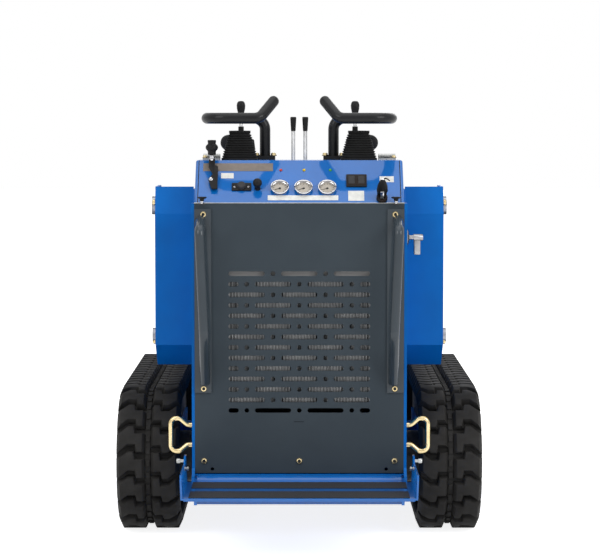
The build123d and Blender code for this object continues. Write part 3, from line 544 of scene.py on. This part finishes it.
class LOADER_OT_finishes(bpy.types.Operator):
    """Give every frame node the finish of its material slot"""
    bl_idname = "loader.finishes"
    bl_label = "Finishes"

    def execute(self, context):
        for row in frame["record"]["subparts"]:
            made = frame["nodes"][row["node"]]
            made.data.materials.clear()
            made.data.materials.append(None)
            made.material_slots[0].link = "OBJECT"
            made.material_slots[0].material = finish(CLOSER.get(row["node"], row["material_slot"]))
        return {"FINISHED"}


# Rubber tracks

# how far the tread is turned round its wheels, so that its lugs stand as photographed
TREAD_PHASE = -3.0


def wrap(bm, reach, length):
    """Lay a strip (x across, y along, z outward) round the two wheels."""
    straight = IDLER.y - SPROCKET.y
    arc = math.pi * reach
    for v in bm.verts:
        s, out = (v.co.y + TREAD_PHASE) % length, reach + v.co.z
        if s < straight:
            v.co.y, v.co.z = SPROCKET.y + s, SPROCKET.z - out
        elif s < straight + arc:
            angle = (s - straight) / reach
            v.co.y, v.co.z = IDLER.y + out * math.sin(angle), SPROCKET.z - out * math.cos(angle)
        elif s < 2 * straight + arc:
            v.co.y, v.co.z = IDLER.y - (s - straight - arc), SPROCKET.z + out
        else:
            angle = (s - 2 * straight - arc) / reach
            v.co.y, v.co.z = SPROCKET.y - out * math.sin(angle), SPROCKET.z + out * math.cos(angle)


def cut_across(bm, low, high, step):
    """Cut a strip into short lengths so that it can bend."""
    y = low + step
    while y < high - 1:
        bmesh.ops.bisect_plane(bm, geom=bm.verts[:] + bm.edges[:] + bm.faces[:], plane_co=(0, y, 0),
                               plane_no=(0, 1, 0), dist=0.001)
        y += step


def lug(sizes, groove_half, half_width):
    """One tread block, between two stepped grooves: x outward from the track's centre."""
    gap = sizes.groove_width / 2
    # groove line: distance from the centre, place along the track
    line = ((groove_half, 18.0), (35.0, 18.0), (39.0, 0.0), (58.0, 0.0), (half_width, 19.0))
    near = [(x, y + gap) for x, y in line]
    far = [(x, y + sizes.link_pitch - gap) for x, y in line]
    sunk, draft, inner_top, chamfer = 2.0, 4.0, 16.0, 10.0
    bm = bmesh.new()
    top = pull(bm, near + far[::-1], sizes.belt_top - sunk, sunk)
    bmesh.ops.inset_region(bm, faces=[top], thickness=draft, depth=sizes.lug_height, use_even_offset=True)
    # the ends lean more: the centre groove is a V and the outer shoulder is chamfered
    for v in top.verts:
        if v.co.x < groove_half + draft + 1:
            v.co.x = inner_top
        if v.co.x > half_width - draft - 1:
            v.co.x = half_width - chamfer
    round_edges(bm, top.edges, 1.6)
    cut_across(bm, -10, 100, 13.0)
    return bm


def build_track(sizes):
    """The right-hand track: belt, lugs, centre pads and guide horns."""
    reach = TRACK_HIGH.z - SPROCKET.z - sizes.belt_top - sizes.lug_height
    straight = IDLER.y - SPROCKET.y
    length = 2 * straight + 2 * math.pi * reach
    links = round(length / sizes.link_pitch)
    half = (TRACK_HIGH.x - TRACK_LOW.x) / 2
    bm = bmesh.new()
    # belt: its cross-section, x and height over the pitch line, pulled along in short steps
    rib = 7.0
    rib_top = sizes.belt_top + sizes.rib_height
    section = [(-half + 6, -sizes.belt_depth), (half - 6, -sizes.belt_depth), (half, -2), (half, 10),
               (half - 5, sizes.belt_top), (rib + 1, sizes.belt_top), (rib, rib_top), (-rib, rib_top),
               (-rib - 1, sizes.belt_top), (-half + 5, sizes.belt_top), (-half, 10), (-half, -2)]
    belt = bmesh.new()
    ring = [belt.verts.new((x, 0, z)) for x, z in section]
    edges = [belt.edges.new((a, b)) for a, b in zip(ring, ring[1:] + ring[:1])]
    steps = links * 4
    for _ in range(steps):
        made = bmesh.ops.extrude_edge_only(belt, edges=edges)
        edges = [e for e in only(bmesh.types.BMEdge, made) if e.is_boundary]
        ahead = (0, (length - 0.001) / steps, 0)
        bmesh.ops.translate(belt, vec=ahead, verts=only(bmesh.types.BMVert, made))
    add(bm, belt)
    # the left row of lugs is the right one turned half round, a third of a pitch on
    pitch, groove_half, stagger = sizes.link_pitch, 6.5, 0.33
    turned = Matrix.Diagonal((-1, -1, 1, 1))
    add(bm, lug(sizes, groove_half, half), *[at(0, i * pitch, 0) for i in range(links)])
    add(bm, lug(sizes, groove_half, half), *[at(0, (i + stagger) * pitch, 0) @ turned for i in range(links)])
    pad = block((13, 16, 6), 1.2, 1)
    add(bm, pad, *[at(0, (i / 2 + 0.1) * pitch, rib_top + 1) for i in range(2 * links)])
    horn, root, tall, horn_shift = bmesh.new(), 2.0, 15.0, -9.0
    foot = ((-12, -14), (12, -14), (12, 14), (-12, 14))
    tip = pull(horn, foot, root - sizes.belt_depth, -tall)
    bmesh.ops.scale(horn, vec=(0.55, 0.6, 1), verts=tip.verts[:])
    round_edges(horn, sharp(horn), 1.5, 1)
    add(bm, horn, *[at(0, i * pitch + horn_shift, 0) for i in range(links)])
    wrap(bm, reach, length)
    return bm


class LOADER_OT_tracks(bpy.types.Operator):
    """Moulded rubber tracks with stepped tread blocks, a centre groove and guide horns"""
    bl_idname = "loader.tracks"
    bl_label = "Rubber tracks"

    def execute(self, context):
        for name, side in SIDES:
            bm = build_track(context.scene.loader_sizes)
            bmesh.ops.translate(bm, vec=(GAUGE_HALF, 0, 0), verts=bm.verts)
            if side < 0:
                bmesh.ops.transform(bm, matrix=FLIP, verts=bm.verts)
            piece("tread_track_" + name, bm, "root", "track_rubber", replaces=["track_" + name])
        return {"FINISHED"}


class LOADER_OT_radiator(bpy.types.Operator):
    """Folded fins of the radiator behind the grille's slots"""
    bl_idname = "loader.radiator"
    bl_label = "Radiator fins"

    def execute(self, context):
        low = box_mm("radiator_core")[0]
        pitch = context.scene.loader_sizes.fin_pitch
        half, depth, front = 238.0, 4.0, low.y - 5.0
        # the fins end under the first row of slots, where the upper tank shows
        height = 350.0
        bm = bmesh.new()
        folds = range(int(2 * half / (pitch / 2)) + 1)
        row = [bm.verts.new((-half + i * pitch / 2, front - depth * (i % 2), low.z + 2)) for i in folds]
        edges = [bm.edges.new(pair) for pair in zip(row, row[1:])]
        made = bmesh.ops.extrude_edge_only(bm, edges=edges)
        bmesh.ops.translate(bm, vec=(0, 0, height), verts=only(bmesh.types.BMVert, made))
        bmesh.ops.solidify(bm, geom=bm.faces[:], thickness=0.4)
        piece("radiator_fins", bm, "root", "radiator_aluminium", smooth=20)
        return {"FINISHED"}


class LOADER_OT_panel(bpy.types.Operator):
    """Bolts, a slit of painted shade and a pale strip along the top of the grille panel"""
    bl_idname = "loader.panel"
    bl_label = "Panel fasteners"

    def execute(self, context):
        # bolts: x, height, stand off the panel
        places = ((-267.5, 933.5, 5), (267.5, 933.5, 5), (-267.3, 445.5, 5), (267.3, 445.5, 5),
                  (-267, 241, 0), (0, 241, 0), (267, 241, 0))
        head = [(0, 0), (8.5, 0), (8.5, 1.5), (7, 3.6), (4.6, 3.8), (4.2, 1.0), (0, 1.0)]
        # the hollow of each head is a dark disc of painted shade
        hollow = [(0, 0.8), (4.1, 0.8), (4.1, 1.5), (0, 1.5)]
        bm = bmesh.new()
        for x, z, off in places:
            place = at(x, -off, z) @ turn(90, "X")
            add(bm, tint(lathe(head, 24), 0), place)
            add(bm, tint(lathe(hollow, 16), 1), place)
        # a short slit low in the panel, drawn as a dark block of painted shade
        slit, slit_place = (28, 0.6, 2.2), at(-1, -0.2, 352)
        add(bm, tint(block(slit), 1), slit_place)
        piece("panel_bolts", bm, "root", "zinc_yellow", "zinc_yellow", "painted_shade_dark")
        # a pale strip of clear zinc along the panel's top edge
        bm = bmesh.new()
        add(bm, block((2 * PANEL_HIGH.x + 2, 7, 2.5), 0.8, 1), at(0, 2.5, PANEL_HIGH.z + 1.0))
        piece("panel_top_pale_strip", bm, "root", "bare_steel", "zinc_clear")
        return {"FINISHED"}


# Instrument slope

def dial_face(radius):
    """Tick marks and a needle of a gauge, in ink on its dial."""
    bm = bmesh.new()
    first, sweep, marks, pointing = 225.0, 270.0, 10, 200
    for i in range(marks + 1):
        angle = first - sweep * i / marks
        long = 5.0 if i % 5 == 0 else 3.2
        add(bm, block((long, 1.1, 0.3)), turn(angle, "Z") @ at(radius - 2.5 - long / 2, 0, 0))
    needle = [(-4, -0.9), (radius - 6, -0.35), (radius - 6, 0.35), (-4, 0.9)]
    add(bm, slab(needle, 0.6), turn(pointing, "Z") @ at(0, 0, 0.6))
    add(bm, lathe([(0, 0), (3.2, 0), (2.6, 2.0), (0, 2.2)], 16))
    return bm


class LOADER_OT_gauges(bpy.types.Operator):
    """Three round gauges with chrome bezels, dials and needles"""
    bl_idname = "loader.gauges"
    bl_label = "Dash gauges"

    def execute(self, context):
        radius = context.scene.loader_sizes.gauge_radius
        step, centre_x, up = 66.4, 11.9, 53.7
        places = [on_slope(centre_x + i * step, up) for i in (-1, 0, 1)]
        # the bezel's outline: distance from its outer radius, height
        bezel = ((-4.5, 2.2), (-3.6, 10.4), (-2.2, 12), (-0.6, 11.4), (0, 10), (-0.4, 8.4), (-3, 7.4),
                 (-5, 6), (-5, 0), (-8, 0), (-8, 1.5), (-4.5, 2.2))
        bm = bmesh.new()
        add(bm, lathe([(radius + out, z) for out, z in bezel], 48), *places)
        piece("gauge_bezels", bm, "root", "chrome_plate", replaces=["gauges"])
        bm = bmesh.new()
        dial = radius - 4.6
        add(bm, tint(lathe([(0, 0.5), (dial, 0.5), (dial, 2.4), (0, 2.4)], 36), 0), *places)
        add(bm, tint(dial_face(dial), 1), *[place @ at(0, 0, 2.5) for place in places])
        piece("gauge_dials", bm, "root", None, "dial_white", "dial_black")
        return {"FINISHED"}


# The two hand knobs on the panel's top corners
CLAMP_X = (-270.5, 268.9)
CLAMP_Y = -14.5


class LOADER_OT_dash(bpy.types.Operator):
    """Blank plates, indicator lamps, switches, key and knobs of the instrument slope"""
    bl_idname = "loader.dash"
    bl_label = "Dash controls"

    def execute(self, context):
        # blank plates: x, distance up the slope, width, height
        plates = ((-172.6, 135.8, 197, 29.8), (-202.3, 103.4, 35.2, 20), (10.4, 20.6, 197, 18),
                  (158.9, 28.1, 44.5, 37), (245.6, 90.1, 40, 22))
        bm = bmesh.new()
        for i, (x, up, width, height) in enumerate(plates):
            add(bm, tint(block((width, height, 0.8), 0.25, 1), 0 if i else 1), on_slope(x, up, 0.3))
        piece("dash_plates", bm, "root", None, "label_white", "plate_grey")
        for colour, x in (("red", -52.0), ("yellow", 13.4), ("green", 87.3)):
            bm = lathe([(0, 0), (4.4, 0), (4.4, 1.6), (3.4, 3.4), (1.6, 4.3), (0, 4.5)], 20)
            bmesh.ops.transform(bm, matrix=on_slope(x, 124.3), verts=bm.verts)
            piece("indicator_" + colour, bm, "root", None, colour + "_lens")
        # places on the slope: across, up
        socket_x, socket_up = -161.8, 60
        rocker_x, rocker_up = 160.5, 82.7
        key_x, key_up = 230.4, 17.0
        key = on_slope(key_x, key_up)
        bm = bmesh.new()
        # socket plate with its round cover
        cover = lathe([(0, 0), (12.4, 0), (12.4, 7), (10.5, 10.5), (0, 11.5)])
        add(bm, tint(block((54.7, 28.7, 4), 1.5), 0), on_slope(socket_x, socket_up, 2))
        add(bm, tint(cover, 1), on_slope(socket_x, socket_up, 3))
        # pull knob on its stem
        radius, middle = 12.9, 23.6
        turns = [math.radians(a) for a in range(36, 181, 12)]
        ball = [(radius * math.sin(a), middle - radius * math.cos(a)) for a in turns]
        stem = [(0, 0), (9, 0), (8.4, 3), (7.5, 5), (7.5, ball[0][1])]
        add(bm, tint(lathe(stem + ball), 0), on_slope(-116.8, 56))
        # double rocker switch in its frame
        add(bm, tint(block((57.7, 46, 5), 1.5), 0), on_slope(rocker_x, rocker_up, 2.5))
        add(bm, tint(block((51, 36, 3), 1), 2), on_slope(rocker_x, rocker_up, 4.2))
        for shift in (-13.6, 13.6):
            rocker = tint(block((18, 27, 6), 1.5), 1)
            add(bm, rocker, on_slope(rocker_x + shift, rocker_up, 5) @ turn(6, "X"))
        # key switch: a cup with a guard behind the blade
        cup = [(0, 0), (15.5, 0), (15.5, 8), (14, 11), (10.5, 11), (9.5, 6), (0, 6)]
        head = [(0, 24), (11, 24), (14.8, 28), (15.8, 35), (14, 52), (9, 67), (5.5, 73), (0, 74.5)]
        add(bm, tint(lathe(cup), 2), key)
        add(bm, tint(block((27, 7, 24), 3), 0), on_slope(key_x, key_up + 11, 14))
        add(bm, tint(lathe(head), 0), key @ Matrix.Diagonal((1, 0.55, 1.08, 1)))
        cord = [key @ Vector(p) for p in ((0, 0, 80), (4, 0, 92), (14, 0, 90), (19, 0, 76))]
        add(bm, tint(bar(bend(cord, 6), 1.8), 0))
        # hand knobs that clamp the panel's top corners
        knob = [(0, 4), (4, 4), (4, 8), (6.5, 8), (6.5, 13), (12.6, 15), (13.3, 17), (13.3, 18.5), (12, 19),
                (0, 19)]
        for x in CLAMP_X:
            add(bm, tint(lathe(knob, 28), 0), at(x, CLAMP_Y, PANEL_HIGH.z))
        piece("dash_switches", bm, "root", "black_plastic", "black_plastic", "soft_plastic", "switch_red",
              replaces=["dash_controls"])
        bm = bmesh.new()
        for x in (-181.0, -142.6):
            add(bm, cap_screw(3.4, 2.2, 1.4), on_slope(x, 58, 4))
        # the key's blade, and its end at the cord
        add(bm, block((10.5, 3, 30), 1), on_slope(key_x, key_up - 10.5, 27))
        add(bm, block((10, 5, 5), 2), on_slope(key_x, key_up, 82))
        for x in CLAMP_X:
            add(bm, tint(block((16, 10, 4), 0.8, 1), 1), at(x, CLAMP_Y + 4, PANEL_HIGH.z - 2))
            add(bm, bolt(8.5, 5.5, 5.5, 1.5), at(x, CLAMP_Y, PANEL_HIGH.z))
        piece("dash_screws", bm, "root", "chrome_plate", "chrome_plate", "dark_steel")
        # dark strips of painted shade along the seams at the slope's two sides
        bm, seam_x = bmesh.new(), 283.4
        for side in (-1, 1):
            add(bm, block((2.2, SLOPE_LENGTH - 6, 0.6)), on_slope(side * seam_x, SLOPE_LENGTH / 2, 0.2))
        piece("dash_seam_shade", bm, "root", None, "painted_shade_dark")
        return {"FINISHED"}


class LOADER_OT_throttle(bpy.types.Operator):
    """Throttle lever with its bent arm, nuts and knob"""
    bl_idname = "loader.throttle"
    bl_label = "Throttle lever"

    def execute(self, context):
        x, knob_y = -247.0, 101.0
        # the arm: across from the knob's line, distance up the slope
        arm = [(-8, 158), (8.7, 158), (9.7, 134), (18.3, 128), (18.3, 44.6), (1.1, 44.6), (-8.4, 81),
               (-4, 88), (4, 100), (-8.4, 128)]
        bm = bmesh.new()
        add(bm, tint(slab(arm, 4, 0.8), 0), on_slope(x, 0) @ at(0, 0, 8))
        add(bm, tint(lathe([(0, 0), (8, 0), (8, 9), (0, 9)], 24), 0), on_slope(x + 6, 86))
        knob = [(0, 15), (10.5, 15), (11.5, 17), (11.5, 24), (12.5, 27), (16.4, 31), (17.8, 36), (16.6, 41),
                (12.8, 45), (11.2, 47), (11.6, 51), (12.2, 54), (11.4, 57), (0, 57.5)]
        add(bm, tint(lathe(knob), 0), at(x, knob_y, DECK_Z))
        piece("throttle_knob", bm, "root", "black_plastic", replaces=["throttle_lever"])
        bm = bmesh.new()
        add(bm, bolt(11, 9, 7.5, 6), at(x, knob_y, DECK_Z - 1))
        add(bm, bolt(7, 3.5, 6, 1.2), on_slope(x - 0.5, 80, 11.5))
        piece("throttle_nut", bm, "root", "chrome_plate")
        return {"FINISHED"}


class LOADER_OT_joysticks(bpy.types.Operator):
    """Joysticks: folded rubber boots, shafts and pear-shaped knobs"""
    bl_idname = "loader.joysticks"
    bl_label = "Joysticks"

    def execute(self, context):
        ribs = context.scene.loader_sizes.boot_ribs
        for name, side in SIDES:
            low, high = box_mm("joystick_" + name)
            middle = (low + high) / 2
            foot_half = (high.x - low.x) / 2
            base, height = 6.0, 83.0
            base_half, top_half = 50.0, 31.0
            levels = [(foot_half - 3, 0), (foot_half - 3, base - 1), (base_half + 1, base)]
            step = (height - base - 4) / ribs
            # a fold: how far it is drawn in, at which share of its height
            fold = ((2.6, 0.1), (2.3, 0.3), (0, 0.55), (0, 0.8), (2.0, 0.97))
            for i in range(ribs):
                # the boot's sides are a little convex
                half = top_half + (base_half - top_half) * (1 - i / (ribs - 1)) ** 0.9
                z = base + step * i
                levels += [(half - drawn, z + share * step) for drawn, share in fold]
            levels += [(top_half, height - 3), (top_half - 0.5, height), (11, height + 0.5)]
            bm = bmesh.new()
            add(bm, tint(stack(levels, 10, 5.0), 0))
            # the stick stands inward of the boot's middle, and a little to the operator's left
            inward, left = 7.0, 3.5
            stick = at(-inward * side - left, 0, 0)
            add(bm, tint(lathe([(0, height), (8, height), (8, 95), (0, 95)], 24), 1), stick)
            add(bm, tint(lathe([(0, 94), (4.6, 94), (4.6, 132), (0, 132)], 20), 2), stick)
            knob = [(0, 128), (8, 128), (8.8, 133), (11.8, 146), (12.4, 155), (11, 162.5), (7, 167),
                    (0, 168)]
            add(bm, tint(lathe(knob), 1), stick)
            # the cable comes out of the deck beside the boot and goes in at its top
            cable = [(-36, 44, 2), (-52, 46, 30), (-48, 46, 62), (-20, 46, 78), (0, 46, 66)]
            for way in ((1, -1) if side < 0 else (-1,)):
                line = [(way * a, b, c) for a, b, c in cable]
                add(bm, tint(bar(bend(line, 14), 4.5, 10), 1))
            bmesh.ops.translate(bm, vec=(middle.x, middle.y, low.z), verts=bm.verts)
            piece("ribbed_joystick_" + name, bm, "root", "black_plastic", "boot_rubber", "black_plastic",
                  "lever_steel", replaces=["joystick_" + name])
        return {"FINISHED"}


class LOADER_OT_deck(bpy.types.Operator):
    """Auxiliary levers, and the bolts of the hand rails and hinges, on the control deck"""
    bl_idname = "loader.deck"
    bl_label = "Deck fittings"

    def execute(self, context):
        low, high = box_mm("aux_levers")
        shaft = [(0, 0), (5.3, 0), (5.3, 86), (0, 86)]
        grip = [(0, 82), (6.2, 82), (6.8, 86), (8.0, 106), (8.7, 118), (8.2, 121.5), (6.8, 122.5), (0, 122.5)]
        bm = bmesh.new()
        for side in (-1, 1):
            place = at(side * (high.x - 9.0), (low.y + high.y) / 2, low.z)
            add(bm, tint(lathe(shaft, 20), 0), place)
            add(bm, tint(lathe(grip, 24), 1), place)
        piece("auxiliary_levers", bm, "root", "black_plastic", "lever_steel", "black_plastic",
              replaces=["aux_levers"])
        bm = bmesh.new()
        # two bolts on each hand rail's flange, one on each hinge leaf
        rail_y, flange = 250.0, 10.0
        for x in (-74.7, -123.3, 74.7, 123.3):
            add(bm, bolt(13, 6, 9.5, 1.8), at(x, rail_y, DECK_Z + flange))
        hinge_x, hinge_y, leaf = 274.0, 274.0, 4.0
        for side in (-1, 1):
            add(bm, bolt(10, 5, 8, 1.5), at(side * hinge_x, hinge_y, DECK_Z + leaf))
        piece("deck_bolts", bm, "root", "zinc_yellow")
        return {"FINISHED"}


class LOADER_OT_lamps(bpy.types.Operator):
    """Oval work lamps with finned backs and clear lenses, on the hood"""
    bl_idname = "loader.lamps"
    bl_label = "Work lamps"

    def execute(self, context):
        low, high = box_mm("work_lamps")
        half_z, half_x = 25.0, 51.0
        x0, z0, y0 = high.x - half_x, high.z - half_z, (low.y + high.y) / 2
        deep = (high.y - low.y) / 2
        straight, corners = half_x - half_z, 32
        turns = [2 * math.pi * (i + 0.5) / corners for i in range(corners)]
        outline = [(math.copysign(straight, math.cos(a)) + half_z * math.cos(a), half_z * math.sin(a))
                   for a in turns]
        shell = slab(outline, 2 * deep - 4, 7, 3)
        lens = slab([(x * 0.88, z * 0.8) for x, z in outline], 3, 1, 1)
        rib = block((half_x * 1.3, 2.4, 6), 0.8, 1)
        places = [at(side * x0, y0 - deep + 4, z0) @ turn(-90, "X") for side in (-1, 1)]
        bm = bmesh.new()
        add(bm, shell, *places)
        shares = (-0.55, -0.28, 0, 0.28, 0.55)
        add(bm, rib, *[place @ at(0, half_z * share, -1) for place in places for share in shares])
        stalk = block((24, 20, z0 - half_z - low.z + 12), 2)
        add(bm, stalk, *[at(side * x0, y0, (z0 - half_z + low.z) / 2 + 4) for side in (-1, 1)])
        piece("work_lamp_housings", bm, "hood", "black_plastic", replaces=["work_lamps"])
        bm = bmesh.new()
        add(bm, lens, *[place @ at(0, 0, 2 * deep - 5) for place in places])
        piece("work_lamp_lenses", bm, "hood", None, "lamp_glass")
        return {"FINISHED"}


class LOADER_OT_fittings(bpy.types.Operator):
    """Latch handle, tower bolts and sprocket bolts"""
    bl_idname = "loader.fittings"
    bl_label = "Fittings"

    def execute(self, context):
        latch_y, latch_z = 45.0, 867.0
        bm = bmesh.new()
        rose = lathe([(0, 0), (22.5, 0), (22.5, 2.5), (17, 5.5), (9, 6.5), (6.5, 8), (6.5, 20), (9.2, 20),
                      (9.2, 44), (8, 46), (0, 46)], 36)
        add(bm, rose, at(SIDE_OUTER, latch_y, latch_z) @ turn(90, "Y"))
        add(bm, block((19, 8, 54), 3, 3), at(SIDE_OUTER + 29.5, latch_y, latch_z - 22))
        piece("latch_t_handle", bm, "root", "chrome_plate", "latch_steel", replaces=["latch_handle"])
        bm = bmesh.new()
        # tower bolts: distance forward, height, width of the head
        for y, z, width in ((140.0, 962.0, 17.0), (140.0, 562.0, 11.0)):
            for side in (-1, 1):
                place = at(side * TOWER_OUTER, y, z) @ turn(side * 90, "Y")
                add(bm, bolt(width * 0.85, 5, width / 2, 2), place)
        piece("tower_bolts", bm, "root", "zinc_yellow")
        bm = bmesh.new()
        outer = box_mm("drive_sprocket_right")[1].x
        ring, count = 58.0, 8
        for side in (-1, 1):
            for i in range(count):
                angle = 2 * math.pi * (i + 0.5) / count
                y, z = SPROCKET.y + ring * math.cos(angle), SPROCKET.z + ring * math.sin(angle)
                add(bm, bolt(15, 8, 12, 2), at(side * outer, y, z) @ turn(side * 90, "Y"))
        piece("sprocket_bolts", bm, "root", "bare_steel", "zinc_clear")
        return {"FINISHED"}


class LOADER_OT_platform(bpy.types.Operator):
    """Grit strips and wing bolts of the operator platform"""
    bl_idname = "loader.platform"
    bl_label = "Platform"

    def execute(self, context):
        low, high = box_mm("platform_grips")
        bm = bmesh.new()
        # a front and a rear strip, with a bare gap between them
        for y0, y1 in ((low.y, low.y + 101.0), (high.y - 98.0, high.y)):
            add(bm, block((high.x - low.x, y1 - y0, 2), 0.6, 1), at(0, (y0 + y1) / 2, low.z + 1))
        piece("grit_strips", bm, "platform", "grip_rubber", replaces=["platform_grips"])
        # bolts through the front ears of the wings
        bolt_y, stud_z, pin_z = -62, 251, 229
        # the pin's end stays clear of the side plate as the platform folds up
        pin_x, clear = WING_X - 5.5, 6
        reach = pin_x - SIDE_OUTER - clear
        stud = [(0, 0), (4.5, 0), (4.5, 12), (7, 12), (7, 19), (6, 22), (0, 23)]
        pin = [(0, 0), (4, 0), (4, reach - 5), (6.5, reach - 5), (6.5, reach - 1), (5.5, reach), (0, reach)]
        bm = bmesh.new()
        for side in (-1, 1):
            add(bm, lathe(stud, 20), at(side * (WING_X - 1), bolt_y, stud_z) @ turn(side * 90, "Y"))
            add(bm, lathe(pin, 20), at(side * pin_x, bolt_y, pin_z) @ turn(-side * 90, "Y"))
        piece("wing_bolts", bm, "platform", "bare_steel", "zinc_clear")
        return {"FINISHED"}


# Stage

FLOOR_HALF = 30.0
SENSOR_WIDTH = 36.0
# Glow of the floor for the rays that see the background, and strength of the sky for the others
FLOOR_GLOW = 0.85
SKY_LIGHT = 0.45
# Soft lamps: name, place, what they aim at, side in metres, watts
LAMPS = (("key_light", (3.2, -3.6, 2.8), (0, 0, 0.6), 2.2, 78),
         ("fill_light", (-2.8, -3.8, 3.4), (0, 0, 0.6), 2.4, 58),
         ("top_light", (0, -1.2, 4.4), (0, -0.8, 0.6), 4.0, 60),
         ("back_light", (1.5, 4.5, 3.0), (0, 0, 0.6), 2.5, 40))


def softbox(name, place, aim, side, power):
    data = bpy.data.lights.new(name, "AREA")
    data.shape = "SQUARE"
    data.size = side
    data.energy = power
    made = bpy.data.objects.new(name, data)
    made.location = place
    made.rotation_euler = (Vector(aim) - Vector(place)).to_track_quat("-Z", "Y").to_euler()
    bpy.context.scene.collection.objects.link(made)


def background_rays(tree):
    """1 for rays that see the plain background: the camera's, through glass and in gloss."""
    rays = node(tree, "ShaderNodeLightPath").outputs
    seen = {0: rays["Is Camera Ray"], 1: rays["Is Transmission Ray"]}
    seen = node(tree, "ShaderNodeMath", seen, operation="MAXIMUM").outputs[0]
    shown = {0: seen, 1: rays["Is Glossy Ray"]}
    return node(tree, "ShaderNodeMath", shown, operation="MAXIMUM").outputs[0]


class LOADER_OT_stage(bpy.types.Operator):
    """Pale floor, soft studio light and the camera of the photograph"""
    bl_idname = "loader.stage"
    bl_label = "Stage"

    def execute(self, context):
        scene = context.scene
        stage = scene.loader_stage
        bm = bmesh.new()
        bmesh.ops.create_grid(bm, x_segments=1, y_segments=1, size=FLOOR_HALF)
        mesh = bpy.data.meshes.new("floor")
        bm.to_mesh(mesh)
        bm.free()
        floor = bpy.data.objects.new("floor", mesh)
        scene.collection.objects.link(floor)
        made, tree, shader, _ = new_material("pale_matt_floor")
        shader.inputs["Roughness"].default_value = 0.9
        shader.inputs["Base Color"].default_value = (*stage.floor, 1)
        # the lamps add the rest, so that the lit floor is white and a faint shadow stays
        part = node(tree, "ShaderNodeMath", {0: background_rays(tree), 1: FLOOR_GLOW}, operation="MULTIPLY")
        glow = node(tree, "ShaderNodeEmission", {"Color": (1, 1, 1, 1), "Strength": part.outputs[0]})
        both = node(tree, "ShaderNodeAddShader", {0: shader.outputs["BSDF"], 1: glow.outputs[0]})
        tree.links.new(both.outputs[0], tree.nodes["Material Output"].inputs["Surface"])
        mesh.materials.append(made)

        world = bpy.data.worlds.new("studio")
        world.use_nodes = True
        scene.world = world
        tree = world.node_tree
        tree.nodes.clear()
        span = {"Value": background_rays(tree), "To Min": SKY_LIGHT, "To Max": 1.0}
        strength = node(tree, "ShaderNodeMapRange", span).outputs[0]
        sky = node(tree, "ShaderNodeBackground", {"Color": (1, 1, 1, 1), "Strength": strength})
        out = node(tree, "ShaderNodeOutputWorld")
        tree.links.new(sky.outputs[0], out.inputs["Surface"])

        for lamp in LAMPS:
            softbox(*lamp)

        data = bpy.data.cameras.new("camera")
        data.lens = stage.lens
        data.sensor_width = SENSOR_WIDTH
        data.shift_x = stage.side_step
        camera = bpy.data.objects.new("camera", data)
        camera.location = (0, PANEL_Y - stage.distance, stage.height)
        camera.rotation_euler = (math.radians(90 - stage.tilt), 0, 0)
        scene.collection.objects.link(camera)
        scene.camera = camera
        scene.view_settings.view_transform = "Standard"
        return {"FINISHED"}


class LOADER_PT_panel(bpy.types.Panel):
    """Buttons for the loader's pieces and the stage"""
    bl_idname = "LOADER_PT_panel"
    bl_label = "Mini skid steer loader"
    bl_space_type = "VIEW_3D"
    bl_region_type = "UI"
    bl_category = "Loader"

    def draw(self, context):
        for group in (context.scene.loader_sizes, context.scene.loader_stage):
            for name in group.__annotations__:
                self.layout.prop(group, name)
        for operator in OPERATORS:
            self.layout.operator(operator.bl_idname)


OPERATORS = (LOADER_OT_finishes, LOADER_OT_tracks, LOADER_OT_radiator, LOADER_OT_panel, LOADER_OT_gauges,
             LOADER_OT_dash, LOADER_OT_throttle, LOADER_OT_joysticks, LOADER_OT_deck, LOADER_OT_lamps,
             LOADER_OT_fittings, LOADER_OT_platform, LOADER_OT_stage)
CLASSES = (LoaderSizes, LoaderStage, *OPERATORS, LOADER_PT_panel)


def register():
    for each in CLASSES:
        bpy.utils.register_class(each)
    bpy.types.Scene.loader_sizes = bpy.props.PointerProperty(type=LoaderSizes)
    bpy.types.Scene.loader_stage = bpy.props.PointerProperty(type=LoaderStage)


def unregister():
    del bpy.types.Scene.loader_stage
    del bpy.types.Scene.loader_sizes
    for each in reversed(CLASSES):
        bpy.utils.unregister_class(each)


def main():
    register()
    for operator in OPERATORS:
        getattr(bpy.ops.loader, operator.bl_idname.split(".")[1])()


if __name__ == "__main__":
    main()
